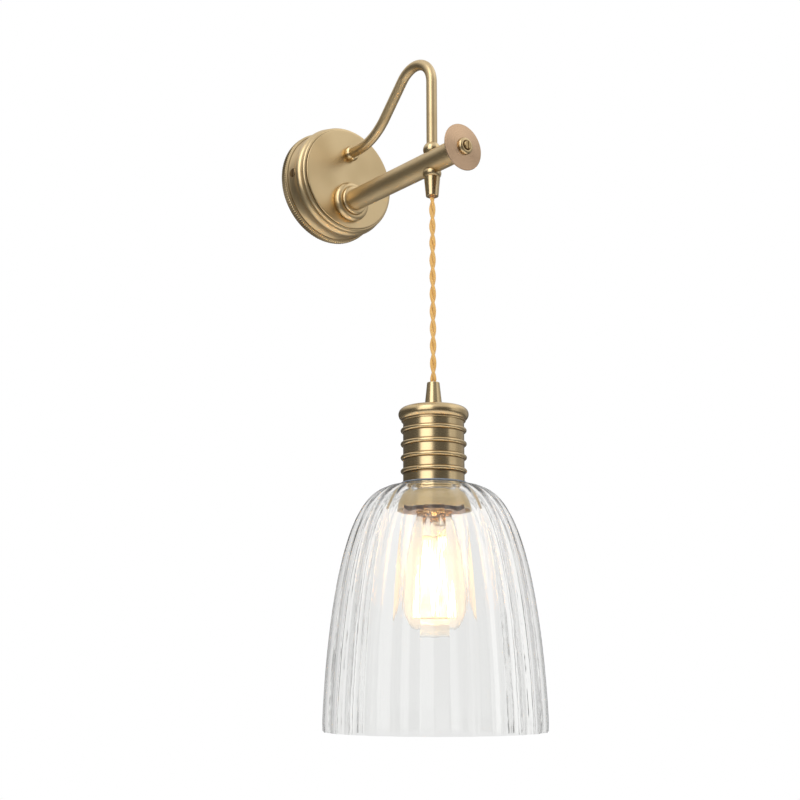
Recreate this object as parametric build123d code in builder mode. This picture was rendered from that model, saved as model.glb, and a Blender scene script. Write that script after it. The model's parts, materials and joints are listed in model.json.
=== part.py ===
from build123d import *
from math import cos, pi, radians, sin
import os

# A wall light: a pendant lamp hangs on a short cloth flex from the end of a level arm.
# Millimetres. The wall is the plane y = 0, the arm reaches out along -Y, and +Z is up.
# The origin is the middle of the backplate, on the wall.

os.makedirs("parts", exist_ok=True)

# --- driving sizes: where things stand ---
projection = 133.0          # wall to the lamp's axis
arm_height = -20.3          # the arm's axis, below the backplate's middle
gooseneck_height = 21.0     # where the bent tube leaves the backplate
flex_length = 139.9         # the free flex, between the mouths of its two grips

# --- shared clearances ---
slip_gap = 0.1              # a screw or spigot in its hole
body_gap = 0.3              # between pieces that move past each other
wall_gap = 0.3              # between the wall and what stands just off it
screw_end_gap = 0.2         # between a screw's end and the wall
rest_gap = 0.2              # between the flex's round end and the mouth that it hangs in

# --- flex ---
flex_r = 2.33
flex_room = 0.67            # between the flex and the gooseneck's bore
grip_room = 0.42            # between the flex and a grip's bore
core_r = 1.05
core_offset = 1.25          # each core, from the middle of the flex
core_bend = 3.5
core_start_lap = 0.8        # how far the cores start inside the held flex
core_end_rise = 3.0         # where they stop, above the block's middle
flex_overrun = 3.0          # how far the held flex runs on past its tube or grip

# --- wall plate ---
backplate_r = 46.1
plate_r = backplate_r - 4.8
plate_wall = 2.0
plate_flange_wall = 1.5
wall_screw_spacing = 60.0
wall_screw_hole_r = 2.6
cable_hole_height = 24.0
cable_hole_r = 6.5
cable_r = 4.0               # the bore that a supply cable comes in by
grommet_lip = 1.2

# --- backplate: (distance from the wall, radius) ---
cover_depth = 29.8
cover_rim = (6.0, backplate_r)      # the knurled band
cover_lip = (7.0, backplate_r - 0.9)
cover_lip_foot = (7.4, backplate_r - 1.9)
cover_hollow = (cover_depth - 17.6, backplate_r - 3.0)
cover_roll_foot = (cover_depth - 12.6, backplate_r - 2.5)
cover_roll = (cover_depth - 9.0, backplate_r - 1.4)
cover_roll_end = (cover_depth - 5.7, backplate_r - 3.5)
cover_bead = (cover_depth - 3.1, backplate_r - 2.9)
cover_bead_end = (cover_depth - 1.2, backplate_r - 4.5)
cover_face_r = backplate_r - 5.1
cover_face_wall = 2.4
cover_bead_wall = 2.6       # inside, behind the bead
cover_roll_wall = 1.4
cover_bore_run = 2.0        # how far its straight bore runs on past the wall plate's rim
cover_edge_round = 0.7
plate_flange = cover_depth - 13.3   # depth of the wall plate's rim
cover_screw_depth = cover_hollow[0] + 0.4   # its two fixing screws, from the wall
cover_screw_web = 0.6       # the cover's wall left under each screw's head
cover_screw_head_r = 3.5
cover_screw_head = 1.5
cover_screw_r = 1.9
cover_screw_length = 5.5
slot_width = 0.8
slot_depth = 0.7

# --- terminal block and earth ---
block_length = 27.0
block_height = 16.0
block_depth = 12.0
block_corner = 1.5
pole_pitch = 9.0
pole_rise = 5.4             # the terminals' middle, above the block's back
pole_r = 2.6
pole_bore_r = 1.5
pole_screw_r = 1.3
pole_screw_room = 0.5       # round each screw, in the block
pole_inset = 1.0            # how far tubes and screws stand inside the block's faces
block_screw_r = 1.4
block_screw_head_r = 2.3
block_screw_head = 1.6
earth_turn = -32.2          # degrees, where the earth screw stands round the plate
earth_room = 3.7            # between its washer and the plate's rim
earth_screw_r = 1.9
earth_head_r = 3.6
earth_head = 2.4
earth_washer_r = 4.2
earth_washer_wall = 0.8
earth_lug_wall = 0.8
earth_wire_r = 0.9
earth_wire_drop = 6.0       # how far it comes straight down below the block
earth_wire_turn = 0.4       # where it turns level, as a share of the way out to the screw
earth_wire_bends = [3.5, 3.0]
earth_lug_neck = 1.0        # from the lug's ring to the wire's end

# --- arm ---
arm_r = 8.45
arm_wall = 1.2
arm_overhang = 33.8         # how far the tube runs on past the lamp's axis
arm_plug_length = 14.0
nipple_r = 5.0
nipple_tail = 9.6           # how far it runs on behind the backplate's face
collar_roll_r = arm_r + 7.35
collar_roll_depth = 6.0
collar_neck_r = arm_r + 2.95
collar_neck_depth = 3.0
collar_edge = 1.2           # how far its outline has fallen at the backplate and at the tube
collar_waist = 0.6          # and between the roll and the neck
collar_roll_middle = 0.62   # the roll's widest line, as a share of its depth
collar_neck_round = 1.0
hub_nut_r = 8.0             # across the corners, of a six-sided nut
hub_nut_depth = 4.0
hub_washer_r = 9.0
hub_washer = 1.2

# --- end disc ---
disc_r = arm_r + 8.85
disc_wall = 1.3
disc_rise = 1.0             # how far its middle stands before its edge
disc_back = 0.2             # how far its edge stands before the arm's end
disc_edge = (0.5, 0.4)      # the edge's rounding behind: along the radius, along the arm
disc_front_edge = (0.4, 0.3)    # and in front
button_r = 6.2
button_depth = 3.0
button_foot_round = 0.5
button_crown = (1.3, 1.2)   # its front edge: along the radius, along the arm
button_dish = (0.3, 1.0)    # its recess: along the radius, depth
button_lap = 0.6            # how far the disc's flat middle stops inside it
button_recess_r = 3.5
end_screw_head_r = 3.1
end_screw_head = 2.2
end_screw_r = 1.9
end_screw_length = 12.0

# --- gooseneck ---
neck_wall = 1.0
neck_bore_r = flex_r + flex_room
neck_r = neck_bore_r + neck_wall
neck_tail = 7.9             # how far it runs on behind the backplate's face
neck_slope = 46.0           # degrees, on the way up
neck_rise_height = 43.3     # its highest point above its foot, on the centre line
neck_top_bend = 20.4
neck_low_bend = 48.0
neck_thread = 5.0           # how far the tube goes into the grip under the arm
boss_r = neck_r + 2.3
boss_depth = 5.6
boss_foot_edge = 1.0        # how far its outline has fallen at the backplate
boss_front_wall = 0.9
boss_middle = 0.52          # its widest line, as a share of its depth
neck_nut_r = neck_r + 2.4
neck_nut_depth = 4.0
upper_bead_r = neck_r + 2.4
upper_bead_rise = 5.5       # its top, above the arm
upper_bead_middle = 2.6
lower_bead_r = neck_r + 2.7
lower_bead_drop = 3.95      # its foot, below the arm
lower_bead_middle = 2.2     # its widest line, above its foot
bead_edge = 1.6
bead_overlap = 3.0          # how far a bead's skirt comes down the side of the arm

# --- flex grips ---
grip_bore_r = flex_r + grip_room
arm_grip_top_r = neck_r + 1.9
arm_grip_mouth_r = grip_bore_r + 1.9
arm_grip_length = 14.4
holder_grip_top_r = grip_bore_r + 1.7
holder_grip_foot_r = nipple_r + 1.2
holder_grip_length = 17.1
grip_mouth_round = 0.4

# --- lamp holder ---
bulb_cap_r = 13.0           # the bulb's screw cap, which the socket takes
shell_r = 21.4
shell_wall = 1.0
shell_length = 43.3
cap_flat_r = shell_r - 9.4
cap_shoulder_r = shell_r - 1.8
cap_shoulder_drop = 1.0
cap_roll_r = shell_r + 3.3
cap_roll_drop = 6.2         # the roll's widest line, below the cap's top
cap_roll_half = 3.6
cap_step_r = shell_r + 1.2
cap_step = 1.2
cap_wall = 2.0
cap_roof_slope = 1.0        # how far the cap's roof falls inside, from its hole to its wall
shell_ribs = 4
rib_first = 6.4             # first rib, below the shell's top
rib_pitch = 9.6
rib_r = shell_r + 1.7
rib_half = 1.3
spigot_length = 4.5
skirt_r = shell_r - shell_wall - 0.7    # the lamp holder's threaded skirt
skirt_drop = 20.0           # how far it hangs below the shell
socket_floor = 5.0
socket_roof_room = 2.0      # above the socket, for the contact tongue
insulator_well_r = skirt_r - 4.2
core_hole_r = core_r + 0.25
core_hole_x = insulator_well_r - 4.5
socket_r = bulb_cap_r + 0.4 # inside the threaded socket
socket_wall = 0.45
socket_length = 24.0
insulator_roof = 12.0       # the insulator's top, below the shell's top
tongue_wall = 0.5
tongue_width = 6.0
tongue_reach = 4.5
tongue_root = core_hole_x - 4.0
rivet_r = 1.5
rivet_stand = 1.0           # its head, above the insulator's floor
socket_lip = 0.4            # between the socket's rolled edge and a core's hole
core_run_in = 2.0           # where a holder core turns upright, below the insulator's top
grip_nut_r = 8.0
grip_nut_depth = 3.6
grip_tail = 9.0             # the upper grip's thread, below the cap's top

# --- shade and its ring ---
gasket = 1.0
gasket_r = shell_r + 1.5
shade_neck_wall = 3.5
shade_hole_r = skirt_r + 0.7
shade_r = 75.6
shade_height = 165.8
shade_wall = 2.6
shade_flutes = 24
shade_flute_depth = 2.0
shade_crest_turn = 5.0      # degrees, where one crest stands
shade_curve_along = 1.6     # the two powers of the shade's bell curve
shade_curve_across = 4.55
shade_first_drop = 0.6      # the first of the rings that the fluted wall is drawn through
shade_stations = 14
shade_inner_drops = [1.4, 5.0, 12.0, 24.0, 44.0, 75.0, 115.0]   # the points of its inner wall
ring_sleeve_r = skirt_r + 1.7
ring_top_r = skirt_r + 4.9
ring_foot_r = ring_top_r + 3.1
ring_depth = 13.0
ring_sleeve_depth = 11.0
ring_wall = 1.6
ring_fillet = 1.2           # between its sleeve and its flare, inside
ring_swell = 0.7            # how far the flare stands outside the straight line of its ends
ring_swell_at = 0.35        # and where, as a share of its depth

# --- bulb ---
bulb_length = 110.0
bulb_cap_length = 26.0
bulb_cap_wall = 0.4
bulb_thread_pitch = 3.63
bulb_thread_depth = 0.6
bulb_thread_start = 3.0     # the first turn, below the cap's rim
bulb_thread_share = 0.75    # each drawn turn's height, as a share of the pitch
bulb_cap_rim = 0.6          # the rim's straight wall, under its top
bulb_threads = 6
bulb_tip_r = 5.0
bulb_tip_depth = 1.6
bulb_tip_round = 1.2
bulb_tip_border = 0.4       # of the insulator, round the tip
bulb_insulator_r = bulb_cap_r - 3.5
bulb_insulator_length = 3.2
bulb_cap_lap = 0.5          # how much of the insulator's length the cap's rim covers
bulb_wall = 0.8
bulb_seal_length = 3.0      # how far its glass runs on inside the cap
bulb_r = 23.2
bulb_neck_r = bulb_cap_r - 0.4
stem_r = 3.0
stem_flare_r = bulb_cap_r - 4.0
stem_flare = (1.0, 4.0)     # its foot: wider than the stem by, below the seal by
stem_shoulder_rise = 9.0    # where it narrows to the rod, above the cage
rod_r = 1.4                 # the glass rod that the hooks stand in
rod_bead_r = 2.2
rod_bead_half = 1.5
rod_bead_taper = 1.0
cage_top = 42.0             # the filament cage, from the bulb's contact
cage_foot = bulb_length - 13.0
cage_top_r = bulb_neck_r - 1.1
cage_foot_r = bulb_r - 8.2
cage_hairpins = 7
filament_r = 0.22
filament_bend = 0.7
hook_r = 0.25
hook_root = 1.2             # each hook's start, from the bulb's axis
hook_reach = (0.9, 0.93)    # its end, as a share of the way out to the filament: top ring, foot
lead_r = 0.35
lead_root = (1.0, 1.6, 1.0) # each lead's start: across, towards its end, above the stem's shoulder
lead_reach = 0.97
lead_rise = 0.4             # its end, above the filament's
cage_gap_angle = 40.0       # the part of the circle that the filament leaves open

# --- places worked out from the sizes ---
bead_foot = arm_height - arm_r - lower_bead_drop
mouth_z = bead_foot - arm_grip_length
holder_mouth_z = mouth_z - flex_length
grip_foot = holder_mouth_z - holder_grip_length
cap_top = grip_foot - body_gap
shell_top = cap_top - cap_roll_drop - cap_roll_half - cap_step
shell_foot = shell_top - shell_length
shade_top = shell_foot - gasket
neck_underside = shade_top - shade_neck_wall
ring_top = neck_underside - gasket
ring_foot = ring_top - ring_depth
shade_foot = shade_top - shade_height
skirt_foot = shell_foot - skirt_drop
bulb_contact_z = skirt_foot + socket_length + body_gap
bulb_foot = bulb_contact_z - bulb_length
bulb_glass_top = bulb_contact_z - bulb_cap_length

earth_reach = plate_r - plate_flange_wall - earth_washer_r - earth_room
earth_x = earth_reach * cos(radians(earth_turn))
earth_height = earth_reach * sin(radians(earth_turn))
cover_screw_seat = plate_r + slip_gap + cover_screw_web
cover_face_back = cover_depth - cover_face_wall
nipple_end = cover_face_back - nipple_tail
neck_start_depth = cover_face_back - neck_tail
flex_back = neck_start_depth - flex_overrun
arm_end = projection + arm_overhang
neck_peak = gooseneck_height + neck_rise_height

LAMP_PLANE = Plane.XZ.offset(projection)
LAMP_AXIS = Axis((0, -projection, 0), (0, 0, 1))
ARM_AXIS = Axis((0, 0, arm_height), (0, -1, 0))
NECK_AXIS = Axis((0, 0, gooseneck_height), (0, -1, 0))


# --- helpers ---
def outline(plane, corners):
    """A closed, straight-sided section on a plane."""
    with BuildSketch(plane) as section:
        with BuildLine():
            Polyline(*corners, close=True)
        make_face()
    return section.sketch


def level(axis_height, corners):
    """The section of a piece turned on a level axis: corners are (distance from the wall, radius)."""
    return outline(Plane.YZ, [(-depth, axis_height + radius) for depth, radius in corners])


def upright(corners):
    """The section of a piece turned on the lamp's axis: corners are (radius, height)."""
    return outline(LAMP_PLANE, corners)


def bent_rod(points, bends, radius, bore=0.0):
    """A round rod or tube along straight runs that arcs join, and the length of its line."""
    with BuildPart() as rod:
        with BuildLine() as route:
            FilletPolyline(*points, radius=bends)
        path = route.wire()
        with BuildSketch(Plane(origin=path @ 0, z_dir=path % 0)):
            Circle(radius)
            if bore:
                Circle(bore, mode=Mode.SUBTRACT)
        sweep(path=path)
    return rod.part, path.length


def straight_rod(start, end, radius):
    """A round rod between two points."""
    run = Vector(*end) - Vector(*start)
    with BuildPart() as rod:
        with BuildSketch(Plane(origin=start, z_dir=run)):
            Circle(radius)
        extrude(amount=run.length)
    return rod.part


def slotted_head(place, radius, depth):
    """A screw's flat head with its slot, on a plane whose normal points out of the head."""
    with BuildPart() as head:
        with BuildSketch(place):
            Circle(radius)
        extrude(amount=depth)
        chamfer(head.edges().group_by(Axis(place.origin, place.z_dir))[-1], depth * 0.2)
        with BuildSketch(place.offset(depth)):
            Rectangle(slot_width, 3 * radius)
        extrude(amount=-slot_depth, mode=Mode.SUBTRACT)
    return head.part


def screw(place, head_radius, head_depth, radius, length):
    """A slotted screw: the head stands on the plane and the shank goes down from it."""
    with BuildPart() as whole:
        add(slotted_head(place, head_radius, head_depth))
        with BuildSketch(place):
            Circle(radius)
        extrude(amount=-length)
    return whole.part


def finish(piece, name):
    """Name a finished piece and write it out."""
    piece.label = name
    export_step(piece, f"parts/{name}.step")


# --- wall plate: a pressed cup, open to the front, that the backplate slips over ---
with BuildPart() as wall_plate:
    with BuildSketch(Plane.XZ):
        Circle(plate_r)
    extrude(amount=plate_flange)
    with BuildSketch(Plane.XZ.offset(plate_wall)):
        Circle(plate_r - plate_flange_wall)
    extrude(amount=plate_flange, mode=Mode.SUBTRACT)
    with BuildSketch(Plane.XZ):
        with GridLocations(wall_screw_spacing, 0, 2, 1):
            Circle(wall_screw_hole_r)
        with Locations((0, cable_hole_height)):
            Circle(cable_hole_r)
        with GridLocations(pole_pitch, 0, 2, 1):
            Circle(block_screw_r)
        with Locations((earth_x, earth_height)):
            Circle(earth_screw_r + slip_gap)
    extrude(amount=plate_wall, mode=Mode.SUBTRACT)
    with BuildSketch(Plane.YZ):
        with Locations((-cover_screw_depth, 0)):
            Circle(cover_screw_r + slip_gap)
    extrude(amount=plate_r + 1, both=True, mode=Mode.SUBTRACT)
finish(wall_plate.part, "wall_plate")

with BuildPart() as cable_grommet:
    revolve(
        level(
            cable_hole_height,
            [
                (wall_gap, cable_r),
                (wall_gap, cable_hole_r),
                (plate_wall, cable_hole_r),
                (plate_wall, cable_hole_r + grommet_lip),
                (plate_wall + grommet_lip, cable_hole_r + grommet_lip),
                (plate_wall + grommet_lip, cable_r),
            ],
        ),
        axis=Axis((0, 0, cable_hole_height), (0, -1, 0)),
    )
finish(cable_grommet.part, "cable_grommet")

# --- backplate: a turned brass cover with a knurled band, a hollow, a roll and a bead ---
cover_inside = [
    (cover_depth - cover_face_wall, 0),
    (cover_depth - cover_face_wall, cover_bead_end[1] - cover_bead_wall),
    (cover_roll_end[0], cover_roll_end[1] - cover_roll_wall),
    (plate_flange + cover_bore_run, plate_r + slip_gap),
    (wall_gap, plate_r + slip_gap),
]
with BuildPart() as backplate_cover:
    with BuildSketch(Plane.YZ):
        with BuildLine():
            Polyline(
                *[(-depth, radius) for depth, radius in cover_inside],
                (-wall_gap, cover_rim[1] - cover_edge_round),
                (-wall_gap - cover_edge_round, cover_rim[1]),
                (-cover_rim[0], cover_rim[1]),
                (-cover_lip[0], cover_lip[1]),
                (-cover_lip_foot[0], cover_lip_foot[1]),
            )
            ThreePointArc(
                (-cover_lip_foot[0], cover_lip_foot[1]),
                (-cover_hollow[0], cover_hollow[1]),
                (-cover_roll_foot[0], cover_roll_foot[1]),
            )
            ThreePointArc(
                (-cover_roll_foot[0], cover_roll_foot[1]),
                (-cover_roll[0], cover_roll[1]),
                (-cover_roll_end[0], cover_roll_end[1]),
            )
            ThreePointArc(
                (-cover_roll_end[0], cover_roll_end[1]),
                (-cover_bead[0], cover_bead[1]),
                (-cover_bead_end[0], cover_bead_end[1]),
            )
            Polyline(
                (-cover_bead_end[0], cover_bead_end[1]),
                (-cover_bead_end[0], cover_face_r),
                (-cover_depth + cover_edge_round, cover_face_r),
                (-cover_depth, cover_face_r - cover_edge_round),
                (-cover_depth, 0),
                (-cover_inside[0][0], 0),
            )
        make_face()
    revolve(axis=Axis.Y)
    with BuildSketch(Plane.XZ.offset(cover_depth)):
        with Locations((0, arm_height)):
            Circle(nipple_r + slip_gap)
        with Locations((0, gooseneck_height)):
            Circle(neck_r + slip_gap)
    extrude(amount=-cover_face_wall, mode=Mode.SUBTRACT)
    with BuildSketch(Plane.YZ):
        with Locations((-cover_screw_depth, 0)):
            Circle(cover_screw_r + slip_gap)
    extrude(amount=cover_rim[1], both=True, mode=Mode.SUBTRACT)
    for side in (-1, 1):
        with BuildSketch(Plane.YZ.offset(side * cover_screw_seat)):
            with Locations((-cover_screw_depth, 0)):
                Circle(cover_screw_head_r + 2 * slip_gap)
        extrude(amount=side * cover_rim[1], mode=Mode.SUBTRACT)
finish(backplate_cover.part, "backplate_cover")

with BuildPart() as cover_screws:
    for side in (-1, 1):
        place = Plane(
            origin=(side * cover_screw_seat, -cover_screw_depth, 0),
            x_dir=(0, 1, 0),
            z_dir=(side, 0, 0),
        )
        add(screw(place, cover_screw_head_r, cover_screw_head, cover_screw_r, cover_screw_length))
finish(cover_screws.part, "cover_screws")

# --- terminal block on the wall plate ---
block_front = plate_wall + block_depth
pole_depth = plate_wall + pole_rise
pole_places = [(-pole_pitch, 0), (0, 0), (pole_pitch, 0)]
with BuildPart() as terminal_block:
    with BuildSketch(Plane.XZ.offset(plate_wall)):
        RectangleRounded(block_length, block_height, block_corner)
    extrude(amount=block_depth)
    with BuildSketch(Plane.XY.offset(-block_height / 2)):
        with Locations(*[(x, -pole_depth) for x, _ in pole_places]):
            Circle(pole_r)
    extrude(amount=block_height, mode=Mode.SUBTRACT)
    with BuildSketch(Plane.XZ.offset(block_front)):
        with GridLocations(pole_pitch, block_height / 2, 3, 2):
            Circle(pole_screw_r + pole_screw_room)
    extrude(amount=pole_depth - block_front, mode=Mode.SUBTRACT)
    with BuildSketch(Plane.XZ.offset(block_front)):
        with GridLocations(pole_pitch, 0, 2, 1):
            Circle(block_screw_r + slip_gap)
    extrude(amount=-block_depth, mode=Mode.SUBTRACT)
finish(terminal_block.part, "terminal_block")

with BuildPart() as terminal_tubes:
    with BuildSketch(Plane.XY.offset(pole_inset - block_height / 2)):
        with Locations(*[(x, -pole_depth) for x, _ in pole_places]):
            Circle(pole_r - slip_gap)
            Circle(pole_bore_r, mode=Mode.SUBTRACT)
    extrude(amount=block_height - 2 * pole_inset)
    with BuildSketch(Plane.XZ.offset(block_front)):
        with GridLocations(pole_pitch, block_height / 2, 3, 2):
            Circle(pole_screw_r + slip_gap)
    extrude(amount=pole_depth - block_front, mode=Mode.SUBTRACT)
finish(terminal_tubes.part, "terminal_tubes")

pole_screw_length = block_front - pole_depth - pole_bore_r
with BuildPart() as terminal_screws:
    for x, _ in pole_places:
        for row in (-1, 1):
            with BuildSketch(Plane.XZ.offset(block_front - pole_screw_length)):
                with Locations((x, row * block_height / 4)):
                    Circle(pole_screw_r)
            extrude(amount=pole_screw_length - pole_inset)
    with BuildSketch(Plane.XZ.offset(block_front - pole_inset)):
        with GridLocations(pole_pitch, block_height / 2, 3, 2):
            Rectangle(slot_width, 3 * pole_screw_r)
    extrude(amount=-slot_depth, mode=Mode.SUBTRACT)
finish(terminal_screws.part, "terminal_screws")

with BuildPart() as block_screws:
    for side in (-1, 1):
        place = Plane(
            origin=(side * pole_pitch / 2, -block_front, 0), x_dir=(1, 0, 0), z_dir=(0, -1, 0)
        )
        add(
            screw(
                place,
                block_screw_head_r,
                block_screw_head,
                block_screw_r - slip_gap,
                block_front - screw_end_gap,
            )
        )
finish(block_screws.part, "block_screws")

# --- earth terminal on the wall plate ---
with BuildPart() as earth_washer:
    with BuildSketch(Plane.XZ.offset(plate_wall)):
        with Locations((earth_x, earth_height)):
            Circle(earth_washer_r)
            Circle(earth_screw_r + slip_gap, mode=Mode.SUBTRACT)
    extrude(amount=earth_washer_wall)
finish(earth_washer.part, "earth_washer")

lug_back = plate_wall + earth_washer_wall
lug_front = lug_back + earth_lug_wall
lug_middle = (lug_back + lug_front) / 2
wire_end_x = earth_x - earth_head_r - earth_lug_neck
earth_run = [
    (pole_pitch, -pole_depth, -block_height / 4),
    (pole_pitch, -pole_depth, -block_height / 2 - earth_wire_drop),
    (pole_pitch + (earth_x - pole_pitch) * earth_wire_turn, -lug_middle, earth_height),
    (wire_end_x, -lug_middle, earth_height),
]
earth_rod = bent_rod(earth_run, earth_wire_bends, earth_wire_r)[0]
with BuildPart() as earth_wire:
    add(earth_rod)
    with BuildSketch(Plane.XZ.offset(lug_back)):
        with Locations((earth_x, earth_height)):
            Circle(earth_head_r)
        with Locations(((earth_x + wire_end_x) / 2, earth_height)):
            Rectangle(earth_x - wire_end_x + earth_lug_neck, 2 * earth_wire_r)
        with Locations((earth_x, earth_height)):
            Circle(earth_screw_r + slip_gap, mode=Mode.SUBTRACT)
    extrude(amount=earth_lug_wall)
finish(earth_wire.part, "earth_wire")

with BuildPart() as earth_screw:
    place = Plane(
        origin=(earth_x, -lug_front, earth_height), x_dir=(1, 0, 0), z_dir=(0, -1, 0)
    )
    add(screw(place, earth_head_r, earth_head, earth_screw_r, lug_front - screw_end_gap))
finish(earth_screw.part, "earth_screw")

# --- arm: collar, threaded nipple, tube, nut and washer ---
collar_end = cover_depth + collar_roll_depth + collar_neck_depth
with BuildPart() as arm_collar:
    with BuildSketch(Plane.YZ):
        with BuildLine():
            Polyline(
                (-cover_depth, arm_height + collar_roll_r - collar_edge),
                (-cover_depth, arm_height + nipple_r + slip_gap),
                (-collar_end, arm_height + nipple_r + slip_gap),
                (-collar_end, arm_height + collar_neck_r - collar_edge),
            )
            ThreePointArc(
                (-collar_end, arm_height + collar_neck_r - collar_edge),
                (-collar_end + collar_neck_round, arm_height + collar_neck_r),
                (-collar_end + collar_neck_depth, arm_height + collar_neck_r - collar_waist),
            )
            ThreePointArc(
                (-collar_end + collar_neck_depth, arm_height + collar_neck_r - collar_waist),
                (-cover_depth - collar_roll_depth * collar_roll_middle, arm_height + collar_roll_r),
                (-cover_depth, arm_height + collar_roll_r - collar_edge),
            )
        make_face()
    revolve(axis=ARM_AXIS)
finish(arm_collar.part, "arm_collar")

arm_bore_r = arm_r - arm_wall
with BuildPart() as arm_tube:
    with BuildSketch(Plane.XZ.offset(collar_end)):
        with Locations((0, arm_height)):
            Circle(arm_r)
            Circle(arm_bore_r, mode=Mode.SUBTRACT)
    extrude(amount=arm_end - collar_end)
    with BuildSketch(Plane.XY.offset(arm_height)):
        with Locations((0, -projection)):
            Circle(neck_r + slip_gap)
    extrude(amount=2 * arm_r, both=True, mode=Mode.SUBTRACT)
finish(arm_tube.part, "arm_tube")

with BuildPart() as arm_nipple:
    revolve(
        level(
            arm_height,
            [
                (nipple_end, 0),
                (nipple_end, nipple_r),
                (collar_end, nipple_r),
                (collar_end, arm_bore_r - slip_gap),
                (collar_end + arm_plug_length, arm_bore_r - slip_gap),
                (collar_end + arm_plug_length, 0),
            ],
        ),
        axis=ARM_AXIS,
    )
finish(arm_nipple.part, "arm_nipple")

with BuildPart() as arm_washer:
    with BuildSketch(Plane.XZ.offset(cover_face_back - hub_washer)):
        with Locations((0, arm_height)):
            Circle(hub_washer_r)
            Circle(nipple_r + slip_gap, mode=Mode.SUBTRACT)
    extrude(amount=hub_washer)
finish(arm_washer.part, "arm_washer")

with BuildPart() as arm_nut:
    with BuildSketch(Plane.XZ.offset(cover_face_back - hub_washer - hub_nut_depth)):
        with Locations((0, arm_height)):
            RegularPolygon(hub_nut_r, 6)
            Circle(nipple_r + slip_gap, mode=Mode.SUBTRACT)
    extrude(amount=hub_nut_depth)
finish(arm_nut.part, "arm_nut")

# --- end of the arm: threaded plug, dished disc, button and screw ---
with BuildPart() as end_plug:
    with BuildSketch(Plane.XZ.offset(arm_end - arm_plug_length)):
        with Locations((0, arm_height)):
            Circle(arm_bore_r - slip_gap)
            Circle(end_screw_r + slip_gap, mode=Mode.SUBTRACT)
    extrude(amount=arm_plug_length)
finish(end_plug.part, "end_plug")

disc_front = arm_end + disc_wall + disc_rise
with BuildPart() as end_disc:
    revolve(
        level(
            arm_height,
            [
                (arm_end, end_screw_r + slip_gap),
                (arm_end, arm_r),
                (arm_end + disc_back, disc_r - disc_edge[0]),
                (arm_end + disc_back + disc_edge[1], disc_r),
                (arm_end + disc_wall - disc_front_edge[1], disc_r),
                (arm_end + disc_wall, disc_r - disc_front_edge[0]),
                (disc_front, button_r - button_lap),
                (disc_front, end_screw_r + slip_gap),
            ],
        ),
        axis=ARM_AXIS,
    )
finish(end_disc.part, "end_disc")

button_front = disc_front + button_depth
with BuildPart() as end_button:
    revolve(
        level(
            arm_height,
            [
                (disc_front, end_screw_r + slip_gap),
                (disc_front, button_r - button_foot_round),
                (disc_front + button_foot_round, button_r),
                (button_front - button_crown[1], button_r),
                (button_front, button_r - button_crown[0]),
                (button_front, button_recess_r + button_dish[0]),
                (button_front - button_dish[1], button_recess_r),
                (button_front - button_dish[1], end_screw_r + slip_gap),
            ],
        ),
        axis=ARM_AXIS,
    )
finish(end_button.part, "end_button")

with BuildPart() as end_screw:
    place = Plane(
        origin=(0, button_dish[1] - button_front, arm_height), x_dir=(1, 0, 0), z_dir=(0, -1, 0)
    )
    add(screw(place, end_screw_head_r, end_screw_head, end_screw_r, end_screw_length))
finish(end_screw.part, "end_screw")

# --- gooseneck: boss, bent tube, nut, and the two beads where it goes through the arm ---
boss_front = cover_depth + boss_depth
with BuildPart() as gooseneck_boss:
    with BuildSketch(Plane.YZ):
        with BuildLine():
            Polyline(
                (-cover_depth, gooseneck_height + boss_r - boss_foot_edge),
                (-cover_depth, gooseneck_height + neck_r + slip_gap),
                (-boss_front, gooseneck_height + neck_r + slip_gap),
                (-boss_front, gooseneck_height + neck_r + boss_front_wall),
            )
            ThreePointArc(
                (-boss_front, gooseneck_height + neck_r + boss_front_wall),
                (-cover_depth - boss_depth * boss_middle, gooseneck_height + boss_r),
                (-cover_depth, gooseneck_height + boss_r - boss_foot_edge),
            )
        make_face()
    revolve(axis=NECK_AXIS)
finish(gooseneck_boss.part, "gooseneck_boss")

arc_start_y = -projection + neck_top_bend * (1 + sin(radians(neck_slope)))
arc_start_z = neck_peak - neck_top_bend * (1 - cos(radians(neck_slope)))
neck_rise = sin(radians(neck_slope)) / cos(radians(neck_slope))
low_corner_y = arc_start_y + (arc_start_z - gooseneck_height) / neck_rise
top_corner_z = arc_start_z + (arc_start_y + projection) * neck_rise
neck_corners = [
    (0, low_corner_y, gooseneck_height),
    (0, -projection, top_corner_z),
]
neck_bends = [neck_low_bend, neck_top_bend]
neck_start = (0, -neck_start_depth, gooseneck_height)
neck_end = (0, -projection, bead_foot - neck_thread)
gooseneck_tube, neck_length = bent_rod(
    [neck_start, *neck_corners, neck_end], neck_bends, neck_r, neck_bore_r
)
finish(gooseneck_tube, "gooseneck_tube")

with BuildPart() as gooseneck_nut:
    with BuildSketch(Plane.XZ.offset(cover_face_back - neck_nut_depth)):
        with Locations((0, gooseneck_height)):
            RegularPolygon(neck_nut_r, 6)
            Circle(neck_r + slip_gap, mode=Mode.SUBTRACT)
    extrude(amount=neck_nut_depth)
finish(gooseneck_nut.part, "gooseneck_nut")


def neck_bead(middle, radius, low, high):
    """A rounded collar on the gooseneck's upright, cut to the arm that it sits against."""
    bore = neck_r + slip_gap
    with BuildPart() as bead:
        with BuildSketch(LAMP_PLANE):
            with BuildLine():
                Polyline(
                    (radius - bead_edge, high), (bore, high), (bore, low), (radius - bead_edge, low)
                )
                ThreePointArc(
                    (radius - bead_edge, low), (radius, middle), (radius - bead_edge, high)
                )
            make_face()
        revolve(axis=LAMP_AXIS)
        with BuildSketch(Plane.XZ.offset(projection - 2 * radius)):
            with Locations((0, arm_height)):
                Circle(arm_r)
        extrude(amount=4 * radius, mode=Mode.SUBTRACT)
    return bead.part


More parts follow.
